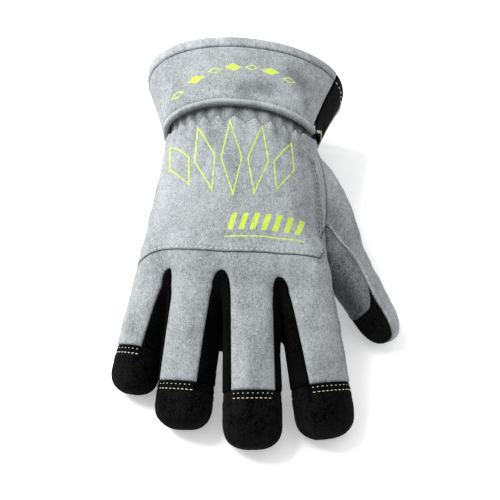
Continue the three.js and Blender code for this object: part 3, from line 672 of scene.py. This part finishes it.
grey_yarn = yarn("grey_thread", (0.28, 0.30, 0.31), (0.62, 0.65, 0.64))
seam_c = np.linspace(0.3, 22.8, 160)
seam_row = hand_rows(HAND_ROWS - KNUCKLE_STITCH / HAND_ROW_MM + 0 * seam_c, seam_c)
side_r = np.linspace(2.0, 8.6, 60)
side_rows = [hand_rows(side_r, side_line(side_r) + offset / HAND_COLUMN_MM)
             for offset in (0.0, DOUBLE_ROW)]
# Dark thread for the rows down the thumb's side of the back and down the index finger; its darkness paints
# the shade of the needle holes.
hole_shade_yarn = yarn("thread_with_hole_shade", (0.010, 0.011, 0.012), (0.060, 0.064, 0.066))
DARK_STITCH = {"length": 1.5, "gap": 1.2, "radius": 0.32}
sew("knuckle_stitches", [seam_row], ["hand_back"], grey_yarn, "grey_suede", length=1.7, gap=1.0, radius=0.3)
sew("side_stitches", side_rows, ["hand_back"], hole_shade_yarn, "grey_suede", **DARK_STITCH)

# The knuckles and the backs of the four fingers are one piece of the grey suede, sewn under the edge of
# the back. It is cut between the fingers in rounded arches, and each strip ends in a straight edge where
# the black fingertip is sewn on. A double row of stitches runs down the index finger, in dark thread that
# paints the shade of their needle holes.
CROTCHES = (
    # x and y of a crotch's top on the back, x and y on the palm
    (-0.352, 0.178, -0.362, 0.035), (-0.076, 0.125, -0.080, -0.055), (0.223, 0.084, 0.235, -0.09),
)
ARCH_L, OUTER_START, CAST = 8.0, 0.22, 1.45
ARCH_ROWS, FINGER_ROWS = 4.0, 6.0


def crotch_top(x, y, height):
    """The top of a crotch: straight down, or straight up, from a height onto the skin."""
    x, y = x * HAND_W, y * HAND_L
    return meet(np.array([x, y, height]), np.array([x, y, hand_skin(90.0, y)[2] * 0.65]))


apexes = [{"back": crotch_top(bx, by, 90.0), "palm": crotch_top(px, py, -30.0)}
          for bx, by, px, py in CROTCHES]


def strip_edge(i, side, face, r):
    """Angle and distance of a finger strip's edge: round the arch while r is under 4, then straight."""
    tube, angle, crotch = fingers[i], fingers[i].edges[face][side], i - 1 + side
    outer = not 0 <= crotch < len(apexes)
    start = OUTER_START * FINGER_L if outer else tube.local(apexes[crotch][face])[2]
    bend = start + ARCH_L
    straight = mixed(bend, tube.cap, (r - ARCH_ROWS) / FINGER_ROWS)
    if outer:
        return angle + 0 * r, np.where(r < ARCH_ROWS, start + ARCH_L * r / ARCH_ROWS, straight)
    apex, corner, right = apexes[crotch][face], tube.skin(angle, bend), tube.frame(bend)[1]
    across = right * ((corner - apex) @ right)
    turn = np.radians(90 * np.minimum(r / ARCH_ROWS, 1))[..., None]
    arch = apex + across * np.sin(turn) + (corner - apex - across) * (1 - np.cos(turn))
    arch_angle, arch_t = tube.angle(arch)
    return np.where(r < ARCH_ROWS, arch_angle, angle), np.where(r < ARCH_ROWS, arch_t, straight)


def cast_out(tube, angle, t):
    """The glove's skin straight out from a finger's centre line at an angle."""
    centre = tube.frame(t)[0]
    return meet(mixed(centre, tube.skin(angle, t), CAST), centre)


LOWEST = {"back": -90, "palm": 90}


def turned(angle, lowest):
    """The same direction as an angle in the full turn that starts at the lowest."""
    return (angle - lowest) % 360 + lowest


def strip(i, face, r, s):
    """A finger's back or palm strip: rows r along it and shares s across it, cast out on the skin."""
    r, s = np.broadcast_arrays(r, s)
    (a, at), (b, bt) = (strip_edge(i, side, face, r) for side in (0, 1))
    a, b = turned(a, LOWEST[face]), turned(b, LOWEST[face])
    points = settle(cast_out(fingers[i], mixed(a, b, s), mixed(at, bt, s)), 4)
    for side in (0, 1):
        if 0 <= i - 1 + side < len(apexes):
            points[(r == 0) & (s == side)] = apexes[i - 1 + side][face]
    return points


INDEX, INDEX_MM, INDEX_STITCH = 3, 34, 0.60
strip_s = [lines(0, 1, 30 if i == INDEX else 24, (i > 0, True)) for i in range(4)]
strip_c = [(i + strip_s[i]) * WIDE / 4 for i in range(4)]
strip_r = np.concatenate([np.linspace(0, ARCH_ROWS, int(14 / SPACING) + 5)[:-1],
                          lines(ARCH_ROWS, ARCH_ROWS + FINGER_ROWS, 40, (False, True))])
knuckle_v = lines(0, 1, 18, (True, False))


def finger_strips(face, seam_rows, sunk=0.0, pulled=0.0):
    """Strips of the four fingers, each with the knuckle grid from a panel's last row to its first row. The
    knuckles are sunk by a height, and the index strip is pulled in by one."""
    grids = []
    for i in range(4):
        grid = strip(i, face, strip_r[:, None], strip_s[i][None])
        start = seam_rows(HAND_ROWS + 0 * strip_c[i], strip_c[i])
        knuckle = settle(mixed(start, grid[0], knuckle_v[:, None, None]))
        knuckle[0], knuckle[-1] = start, grid[0]
        grids += [(grid, pulled if i == INDEX else 0.0, None), (knuckle, sunk, None)]
    return grids


beside = (strip_s[INDEX][None] - INDEX_STITCH) * INDEX_MM
pulled = (groove(beside, 0.0) + groove(beside, DOUBLE_ROW)) * (strip_r[:, None] > 0.4)
finger_back = finger_strips("back", hand_rows, -0.25 * hump(knuckle_v, 0.25)[:, None], pulled)
FINGER_MARKS = (
    # from, to, radius, depth, darker by painted shade and brushed nap
    ((2, 8, 58), (14, 6, 58), 5.0, 0.3, 0.08),
    ((3, -26, 47), (14, -27, 46), 2.6, 0.3, 0.08),
    ((-27, -18, 44), (-17, -20, 45), 2.6, 0.3, 0.08),
    ((46, -14, 42), (55, -13, 36), 2.6, 0.3, 0.10),
    ((-45, 2, 38), (-52, -8, 30), 3.0, 0.3, 0.10),
)
panel("finger_backs", ["finger_back_panel"], finger_back, grey_suede, drop=0.8,
      marks=FINGER_MARKS)
index_r = np.linspace(0.5, 9.8, 80)
index_rows = [strip(INDEX, "back", index_r, INDEX_STITCH + shift / INDEX_MM + 0 * index_r)
              for shift in (0.0, DOUBLE_ROW)]
sew("index_stitches", index_rows, ["finger_backs"], hole_shade_yarn, "grey_suede", **DARK_STITCH)

# The palm is one panel of the grey suede with the undersides of the four fingers, sewn to the back along
# the hand's outer side. The photo does not show it, so it is plain, with the same arches between the
# fingers as on the back.
PALM_END, PULL_COLUMNS = 0.50, 4


def palm_rows(r, c):
    """The palm from the wrist (r 0) to a line that ends under the thumb's crotch (r 9). Its last columns
    are pulled to that point, by the square of the share of rows."""
    r, c = np.broadcast_arrays(r, c)
    share = r / HAND_ROWS
    angle = mixed(SEAM_LEFT, 360 + SEAM_PALM, c / WIDE)
    low = mixed(knuckle_seam(np.array(0.0))[1], PALM_END, c / WIDE) * HAND_L
    start = hand_skin(angle, mixed(wrist_line(0.0), low, share))
    pull = np.maximum(1 - (WIDE - c) / PULL_COLUMNS, 0) * share**2
    return settle(start + (under - hand_skin(angle, low)) * pull[..., None])


palm_grids = finger_strips("palm", palm_rows)
palm_c = np.unique(np.round(np.concatenate(strip_c), 9))
palm_main = palm_rows(lines(0, HAND_ROWS, 92, (True, False))[:, None], palm_c[None])
palm_main[-1] = np.concatenate([palm_grids[2 * i + 1][0][0][(i > 0):] for i in range(4)])
panel("palm", ["palm_panel"], [(palm_main, 0.0, None)] + palm_grids, grey_suede)

# Gussets of black suede run round each crotch between two fingers, from one fingertip to the next. They
# are cut as strips and sewn in between the back and the palm, and give the fingers their depth.
black_suede = suede("black_suede", (0.0001, 0.0001, 0.0002), (0.0060, 0.0060, 0.0063), sheen=0.009,
                    contrast=2.2)
# The gussets' suede is darker still than the caps': painted shade between the fingers.
shaded_gusset_suede = suede("shaded_gusset_suede", (0.0001, 0.0001, 0.0001), (0.0028, 0.0028, 0.0030), sheen=0.006,
                     contrast=2.2)
ACROSS = 4
gusset_k = lines(0, ACROSS, 24)


def joined(grid, k, edges):
    """Draws a grid's first and last column onto given edges, fading over one column's width."""
    for column, near in ((0, k), (-1, k.max() - k)):
        moved = (edges[column] - grid[:, column])[:, None]
        grid = grid + np.maximum(1 - near, 0)[None, :, None] * moved
    return grid


def gusset(crotch, r, k):
    """Two grids with rows from the crotch (r 0) along the sides of its two fingers: a quarter arch, then
    straight to the cap. Columns go from the back edge to the palm edge, and are drawn onto both."""
    ends = apexes[crotch]
    ahead = unit(fingers[crotch].along[0] + fingers[crotch + 1].along[0])
    start = mixed(ends["back"], ends["palm"], (k / ACROSS)[:, None])
    first = settle(meet(start + 16 * ahead, start - 12 * ahead))
    first = settle(joined(first[None], k, [end[None] for end in ends.values()])[0])
    grids = []
    for i, side in ((crotch, 1), (crotch + 1, 0)):
        tube = fingers[i]
        high, low = (turned(tube.edges[face][side], -180 if side else 90) for face in ends)
        angle = mixed(high, low, k / ACROSS)
        near = tube.local(first)[2]
        bend = near + np.minimum(ARCH_L, 0.4 * (tube.cap - near))
        right = tube.frame(np.array(ARCH_L))[1]
        corner = tube.skin(angle, bend)
        across = right * ((corner - first) @ right)[:, None]
        share = np.minimum(r / ARCH_ROWS, 1)[:, None, None]
        arch = first + across * np.sin(np.radians(90 * share)) + (corner - first - across) * share
        straight = mixed(bend, tube.cap, np.maximum(r - ARCH_ROWS, 0)[:, None] / FINGER_ROWS)
        grid = settle(np.where((r < ARCH_ROWS)[:, None, None], arch, tube.skin(angle, straight)))
        edges = [cast_out(tube, *strip_edge(i, side, face, r)) for face in ends]
        for edge, end in zip(edges, ends.values()):
            edge[r == 0] = end
        grid = settle(joined(grid, k, edges), 3)
        grid[0] = first
        grids.append((grid, 0.0, None))
    return grids


for crotch, name in enumerate(("little_ring", "ring_middle", "middle_index")):
    panel(f"gusset_between_{name}", [f"gusset_{name}"], gusset(crotch, strip_r, gusset_k),
          shaded_gusset_suede, lumps=0.12, drop=0.7)

# The fingertips are caps of black suede, each with a shallow seam down both sides. A cap is sewn over the
# ends of its strips and gussets with a double row of pale stitches that shows on the back.
CAP_STITCHES = {
    # mm from the cap's edge; length, gap and radius of a stitch
    "upper": (1.6, 0.9, 1.7, 0.2), "lower": (4.0, 1.5, 0.9, 0.24),
}
cream_yarn = yarn("cream_thread", (0.45, 0.42, 0.27), (0.85, 0.82, 0.62))
for i, (name, tube) in enumerate(zip(FINGERS, fingers)):
    left, right = tube.edges["back"]
    turn = np.append(np.linspace(left, left - 360, int(90 / SPACING) + 1)[:-1], left)
    tip = tube.length - tube.rounding
    rise = np.linspace(0, 90, int(20 / SPACING) + 4)
    cap_t = np.concatenate([lines(tube.cap, tip, 12, (True, False))[:-1], tip + tube.over_tip(rise)])
    grid = settle(tube.skin(turn[None], cap_t[:, None]))
    grid[-1] = grid[-1].mean(0)
    dents = sum(-0.5 * hump(turned(turn - edge, -180), 6) for edge in (left, right))[None]
    dents = dents * smooth((tube.length - 4 - cap_t) / 8)[:, None]
    dents = dents + sum(groove(cap_t - tube.cap, row[0]) for row in CAP_STITCHES.values())[:, None]
    panel(f"fingertip_{name}", [f"fingertip_cap_{name}"], [(grid, dents, None)], black_suede,
          lumps=0.16)
    across = np.linspace(left - 6, right + (56 if i == INDEX else 6), 50)
    for row, (offset, length, gap, radius) in CAP_STITCHES.items():
        sew(f"{row}_stitches_{name}", [settle(tube.skin(across, tube.cap + offset))],
            [f"fingertip_{name}"], cream_yarn, "black_suede", length, gap, radius)

# The thumb is two panels of the grey suede. The outer one runs from the wrist over the tip and is sewn
# down the back with a piped seam. The shaded inner one has the web to the hand and ends in a rounded hem
# on the black suede patch inside the tip.
PIPE_ANGLE, UNDER_ANGLE, PIPE_IN = 100.0, -120.0, 16
THUMB_ROWS, TIP_ROWS, THUMB_COLUMNS = 9.0, 4.0, 8
joins = [thumb.local(point)[2] for point in (junction, under)]
firsts = [thumb.angle(point)[0] for point in (junction, under)]
thumb_end = thumb.length - thumb.rounding


def ease(share):
    """Starts as the share itself, then slows down softly and stays at 1 from a share of 1.5."""
    return 1 - (1 - np.minimum(share / 1.5, 1)) ** 1.5


def pipe_turn(r):
    """How far the piped seam turns inwards near the tip, in degrees."""
    return PIPE_IN * smooth((r - 3) / 5)


def thumb_t(start, r):
    """Distance along the thumb of row r: even from a start to the round, then a quarter turn over it."""
    turn = 90 * np.clip((r - THUMB_ROWS) / TIP_ROWS, 0, 1)
    return mixed(start, thumb_end, np.minimum(r / THUMB_ROWS, 1)) + thumb.over_tip(turn)


def thumb_outer(r, c):
    """The outer panel from the piping (c 0) to its lower seam (c 8)."""
    r, c = np.broadcast_arrays(r, c)
    pipe = mixed(firsts[0], PIPE_ANGLE, ease(r / 4)) + pipe_turn(r)
    low = mixed(firsts[1], UNDER_ANGLE, ease(r / 4))
    share = c / THUMB_COLUMNS
    return settle(thumb.skin(mixed(pipe, low, share), thumb_t(mixed(*joins, share), r)))


def thumb_root(r, c):
    """The thumb's root from the wrist (r 0) to the first row on the thumb (r 9), bulging between them."""
    r, c = np.broadcast_arrays(r, c)
    share = (r / HAND_ROWS)[..., None]
    wrist = mixed(wrist_line(WIDE), wrist_line(0.0), smooth(c / 2))
    low = hand_skin(mixed(SEAM_THUMB, SEAM_PALM, c / THUMB_COLUMNS), wrist)
    high = thumb_outer(0.0, c)
    return mixed(low, high, share) + (outward(low) + outward(high)) * 5 * np.sin(np.pi * share)


BULGE, BULGE_ROOT = 3.2, 1.92
outer_c = lines(0, THUMB_COLUMNS, 62)
root_r = lines(0, HAND_ROWS, 60, (True, False))
thumb_r = np.concatenate([lines(0, THUMB_ROWS, 62, (False, False))[:-1],
                          np.linspace(THUMB_ROWS, THUMB_ROWS + TIP_ROWS, int(16 / SPACING) + 3)])
edges = hand_rows(root_r, WIDE + 0 * root_r), palm_rows(root_r, WIDE + 0 * root_r)
root_grid = settle(joined(thumb_root(root_r[:, None], outer_c[None]), outer_c, edges))
outer_grid = thumb_outer(thumb_r[:, None], outer_c[None])
full = smooth(outer_c / 2) * smooth((THUMB_COLUMNS - outer_c) / 3)
root_bulge = BULGE * (hump(root_r - 6.0, 4.2) * smooth(root_r / 3))[:, None] * full
outer_bulge = BULGE_ROOT * smooth(1 - thumb_r[:, None] / 2.2) * full
root_grid = root_grid + outward(root_grid) * root_bulge[..., None]
outer_grid = outer_grid + outward(outer_grid) * outer_bulge[..., None]
outer_grid[-1] = outer_grid[-1].mean(0)
root_grid[-1] = outer_grid[0]
fold = 0.4 * hump(outer_c[None] - 0.16, 0.16) * smooth((11 - thumb_r) / 3)[:, None]
THUMB_MARKS = (
    # from, to, radius, depth, darker by painted shade and brushed nap
    ((53, 62, 46), (60, 46, 41), 6.5, 0.6, 0.36),
    ((60, 66, 30), (70, 40, 26), 6.0, 0.3, 0.08),
)
panel("thumb_outer", ["thumb_outer_panel"], [(root_grid, 0.0, None), (outer_grid, fold, None)],
      grey_suede, marks=THUMB_MARKS)
pipe_r = np.linspace(0.0, 10.5, 90)
# The piping is the grey suede made lighter: a painted highlight on its ridge.
lit_pipe_suede = suede("piping_with_painted_highlight", 1.8 * GREY_DARK, 1.8 * GREY_LIGHT)
sew("thumb_piping", [thumb_outer(pipe_r, 0.14)], ["thumb_outer"], lit_pipe_suede, "grey_suede", length=3.2,
    gap=-1.8, radius=0.6, sink=-0.1)

inner_k = lines(0, ACROSS, 34)
inner_s = (inner_k / ACROSS)[:, None]


def web(share):
    """The web's crest between the junction and the palm: met from the front, between thumb and hand."""
    ahead = np.array([0.25, -1, 0])
    start = mixed(junction, under, share)
    return meet(start + 22 * ahead, start - 14 * ahead)


web_row = settle(joined(web(inner_s)[None], inner_k, (junction[None], under[None])))[0]
web_angle, web_t = thumb.angle(web_row)
web_angle %= 360


def thumb_inner(r):
    """The inner side of the thumb: from the web, the columns swing to even places round the thumb."""
    share = ease(r / (3 + ((inner_k - 2) / 2) ** 2))
    even = mixed(PIPE_ANGLE + pipe_turn(r), 360 + UNDER_ANGLE, inner_k / ACROSS)
    return settle(thumb.skin(mixed(web_angle, even, share), thumb_t(web_t, r)))


INNER_MM = 56
hem_r = 8.4 - 2.1 * np.maximum(1 - inner_k / 2, 0) ** 3 - 0.7 * np.maximum(inner_k / 2 - 1, 0) ** 2
inner_share = lines(0, 1, INNER_MM, (False, True))[:, None]
inner_grid = thumb_inner(inner_share * hem_r)
inner_grid[0] = web_row
arm_share = lines(0, 1, 24, (False, True))


def along_edge(grid):
    """Points at the arm's shares along a grid's last column."""
    edge = grid[:, -1]
    place = arm_share * (len(edge) - 1)
    k = np.minimum(place.astype(int), len(edge) - 2)
    return mixed(edge[k], edge[k + 1], (place - k)[:, None])


arm_grid = mixed(along_edge(finger_back[-1][0])[:, None], along_edge(palm_grids[-1][0])[:, None], inner_s)
crest = web_row - mixed(junction, under, inner_s)
arm_grid = settle(arm_grid + (1 - arm_share)[:, None, None] * crest)
arm_grid[0] = web_row
shade_suede = suede("shaded_suede", (0.022, 0.025, 0.027), (0.205, 0.218, 0.227))
hem = 0.7 * hump((1 - inner_share) * INNER_MM - 1.2, 1.0)
# The mark down the inner panel has no depth: it is only painted shade, darker towards the index finger.
shaded = inner_grid[:, np.searchsorted(inner_k, 2.7)]
panel("thumb_inner", ["thumb_inner_panel"], [(inner_grid, hem, None), (arm_grid, 0.0, None)],
      shade_suede, marks=((shaded[2], shaded[-8], 9.0, 0.0, 0.45),))
patch_grid = thumb_inner(mixed(hem_r, THUMB_ROWS + TIP_ROWS, lines(0, 1, 28, (True, False))[:, None]))
patch_grid[-1] = patch_grid[-1].mean(0)
panel("thumb_patch", ["thumb_tip_patch"], [(patch_grid, 0.0, None)], black_suede, lumps=0.1)

# The cuff is a flared gauntlet: panels of the grey suede on the back and the palm meet a black suede
# strip on the thumb's side. Its lip is whipped with stitches, and slants further over the gathers towards
# the thumb. The rim is a thick rolled hem, and the back carries a print.
CUFF_L, RIM_W, RIM_H, HEM_L, HEM_THICK = 52.0, 116.0, 72.0, 9.0, 4.6
CUFF = np.array([
    # place, x, y, z, half width, rise, depth, lean, turn, squareness
    (0, 0.036, 0.0, 0.750, 0.374, 0.375, 0.470, 2, -2, 2.2),
    (0.4, 0.044, 0.4, 0.700, 0.425, 0.402, 0.495, 5, -4, 2.1),
    (0.8, 0.052, 0.8, 0.620, 0.475, 0.440, 0.495, 8, -6, 2.1),
    (1, 0.056, 0.98, 0.585, 0.490, 0.455, 0.507, 9, -7, 2.1),
])
STRIP = (-10.0, 22.0)
HEM_AT = 1 - HEM_L / CUFF_L


def cuff_skin(angle, at):
    """The cuff at an angle (0 thumb side, 90 back) and a place from lip (0) to rim (1)."""
    angle, at = paired(angle, at)
    x, y, z, half, rise, depth, lean, turn, square = (read_table(CUFF, at, i) for i in range(1, 10))
    across, up = oval(angle, square)
    across = half * RIM_W * across
    height = np.where(up > 0, rise, depth) * RIM_H * up
    lean, turn = np.radians(lean), np.radians(turn)
    along = WRIST_Y + (y + np.minimum(at, 0)) * CUFF_L
    return np.stack([x * HAND_W + across, along + height * np.sin(lean) + across * np.sin(turn),
                     z * KNUCKLE_H + height * np.cos(lean)], -1)


def lip(angle):
    """The place of the cuff's lip: it reaches further over the gathers towards the thumb's side."""
    reach = (2.0 + 7.0 * smooth((110 - angle) / 90)) * smooth(angle / 24) * smooth((190 - angle) / 50)
    return -reach / CUFF_L


def cuff_outward(angle, at):
    """The direction straight out of the cuff, from its slopes round and along."""
    around = cuff_skin(angle + 1, at) - cuff_skin(angle - 1, at)
    along = cuff_skin(angle, np.minimum(at + 0.02, 1)) - cuff_skin(angle, at - 0.02)
    return unit(np.cross(along, around))


def cuff_grid(first, last, length, low, high):
    """A grid round the cuff between two angles and two places, with its normals."""
    angle = lines(first, last, length)[None]
    at = lines(low, high, (high - low) * CUFF_L)[:, None]
    if low == 0:
        at = mixed(lip(angle), high, at / high)
    return cuff_skin(angle, at), 0.0, cuff_outward(angle, at)


def cuff_print(finish, place, color, speckle):
    """An arc of seven small lozenges across the back of the cuff: every second one is larger and filled,
    and the others are in thin outline."""
    x, y = glove_place(finish, place)
    mask = 0.0
    for k in range(7):
        at = (-33 + 10.5 * k, 148 - 0.011 * (10.5 * k - 36) ** 2)
        shape = lozenge(x, y, at, -2.2 * (k - 3.4), *((5.0, 3.2) if k % 2 else (3.4, 2.2)))
        mask = mask + (shape < 0 if k % 2 else abs(shape) < PRINT_LINE)
    return printed(finish, color, mask.clamp(), speckle)


CUFF_MARKS = (
    # from, to, radius, depth, darker by painted shade and brushed nap
    ((6, 129, 73), (17, 130, 72), 7.0, 0.9, 0.50),
    ((33, 146, 66), (38, 141, 64), 6.5, 0.8, 0.58),
    ((40, 128, 64), (39, 120, 63), 3.0, 0.8, 0.24),
    ((44, 150, 62), (48, 140, 58), 7.0, 0.2, 0.12),
)
cuff_suede = suede("printed_cuff_suede", GREY_DARK, GREY_LIGHT, artwork=cuff_print)
back_cuff = cuff_grid(STRIP[1], SEAM_LEFT, 150, 0, HEM_AT)
from_lip = lines(0, HEM_AT * CUFF_L, HEM_AT * CUFF_L)[:, None]
# The roll's crest gets a painted highlight and the dent behind it painted shade, through the heights.
roll = 0.7 * hump(from_lip - 1.5, 1.3) - 0.5 * hump(from_lip - 4.0, 1.0)
panel("cuff_back", ["cuff_back_panel"], [(back_cuff[0], roll, back_cuff[2])], cuff_suede,
      lift=0.5, drop=1.3, width=1.8, marks=CUFF_MARKS)
lip_angle = np.linspace(SEAM_LEFT - 3, STRIP[1] + 3, 260)
sew("lip_stitches", [cuff_skin(lip_angle, lip(lip_angle) + 0.048)], ["cuff_back"], grey_yarn, "grey_suede",
    length=2.2, gap=-0.4, turns=(72.0,), sink=-0.1)
panel("cuff_strip", ["cuff_side_strip"], [cuff_grid(*STRIP, 28, 0, 1)], black_suede,
      lift=0.5)
strip_angle = np.linspace(STRIP[1] - 1.5, STRIP[0] + 2, 40)
sew("strip_stitches", [cuff_skin(strip_angle, HEM_AT - 0.02)], ["cuff_strip"], cream_yarn, "black_suede",
    length=1.7, gap=1.5, radius=0.3)
sew("strip_end_stitches", [cuff_skin(strip_angle, lip(strip_angle) + 0.045)], ["cuff_strip"], cream_yarn,
    "black_suede", length=2.2, gap=-0.6, radius=0.3, turns=(55.0, -55.0))
panel("cuff_palm", ["cuff_palm_panel"], [cuff_grid(SEAM_LEFT, 360 + STRIP[0], 150, 0, HEM_AT)],
      grey_suede, lift=0.5)
# The hem is the grey suede made lighter: painted light on the rolled hem.
lit_hem_suede = suede("lit_hem_suede", 1.2 * GREY_DARK, 1.2 * GREY_LIGHT)
panel("cuff_rim", ["cuff_hem"], [cuff_grid(STRIP[1], 360 + STRIP[0], 330, HEM_AT, 1)],
      lit_hem_suede, wall=HEM_THICK, lift=1.4, drop=1.8, width=4.0)

# The wrist band is the gathered leather between the hand's pinked edge and the cuff. It is the grey suede
# darkened with painted shade for its recess, lies under the hand's edge, and spreads inside the cuff until
# it reaches the cuff's wall.
AROUND = 44
band_c = np.linspace(0, AROUND, int(250 / SPACING) + 1)
band_y = np.linspace(WRIST_Y - RECESS - SCALLOP - 14, WRIST_Y + 7, int(30 / SPACING) + 1)[:, None]
band_angle = (360 * (band_c % AROUND) / AROUND)[None]
spread = smooth((band_y - WRIST_Y + 1.5) / 7)
band_hand = settle(hand_skin(band_angle, band_y))
band_at = np.maximum(band_y - WRIST_Y, 0) / CUFF_L
hand_way, cuff_way = outward(band_hand), cuff_outward(band_angle, band_at)
band_cuff = cuff_skin(band_angle, band_at) + 0.35 * cuff_way
band_way = unit(mixed(hand_way, cuff_way, spread[..., None]))
band_folds = (0.4 * np.cos(2 * np.pi * band_c / TOOTH["pitch"])[None] - 0.2) * (1 - 0.8 * spread)
band_grid = mixed(band_hand, band_cuff, spread[..., None])
# Painted shade: the band's suede is darker than the grey suede, for the recess under the hand's edge and
# the cuff.
recess_shade_suede = suede("recess_shade_suede", (0.056, 0.062, 0.065), (0.250, 0.264, 0.274))
panel("wrist_gather", ["wrist_band"], [(band_grid, band_folds, band_way)], recess_shade_suede,
      lift=-WALL - 2 * SEAM_GAP)

# A plain white ground and soft light from the upper left, seen from in front of the fingertips and 50
# degrees above the ground.
ground = bpy.data.meshes.new("ground")
ground.from_pydata([(-3, -3, 0), (3, -3, 0), (3, 3, 0), (-3, 3, 0)], [], [(0, 1, 2, 3)])
white = Finish("white_ground", Roughness=0.9, Emission_Color=(1, 1, 1, 1), Emission_Strength=0.3)
paper = white.node("ShaderNodeTexNoise", {}, {"Scale": 3.0, "Detail": 1.0})
white.wear("Base Color", white.blend(paper, (0.93, 0.93, 0.93, 1), (0.96, 0.96, 0.96, 1)))
ground.materials.append(white.material)
floor = bpy.data.objects.new("ground", ground)
bpy.context.scene.collection.objects.link(floor)

scene = bpy.context.scene
scene.view_settings.view_transform = "Standard"
scene.world = bpy.data.worlds.new("studio")
scene.world.use_nodes = True
scene.world.node_tree.nodes["Background"].inputs[0].default_value = (1, 1, 1, 1)
scene.world.node_tree.nodes["Background"].inputs[1].default_value = 0.8

light = bpy.data.lights.new("key_light", "AREA")
light.size, light.energy = 1.0, 42
lamp = bpy.data.objects.new("key_light", light)
x, y, z = -0.95, 0.45, 1.2
lamp.location = (x, y, z)
lamp.rotation_euler = (math.atan2(math.hypot(x, y), z - 0.03), 0, math.atan2(x, -y))
scene.collection.objects.link(lamp)

camera = bpy.data.objects.new("camera", bpy.data.cameras.new("camera"))
camera.data.lens = 133.2
camera.data.shift_x, camera.data.shift_y = 0.028, -0.006
elevation = math.radians(50)
target = (np.array([0, 42, 40]) + PLACE) / 1000
camera.location = target + np.array([0, -math.cos(elevation), math.sin(elevation)])
camera.rotation_euler = (math.pi / 2 - elevation, 0, 0)
scene.collection.objects.link(camera)
scene.camera = camera
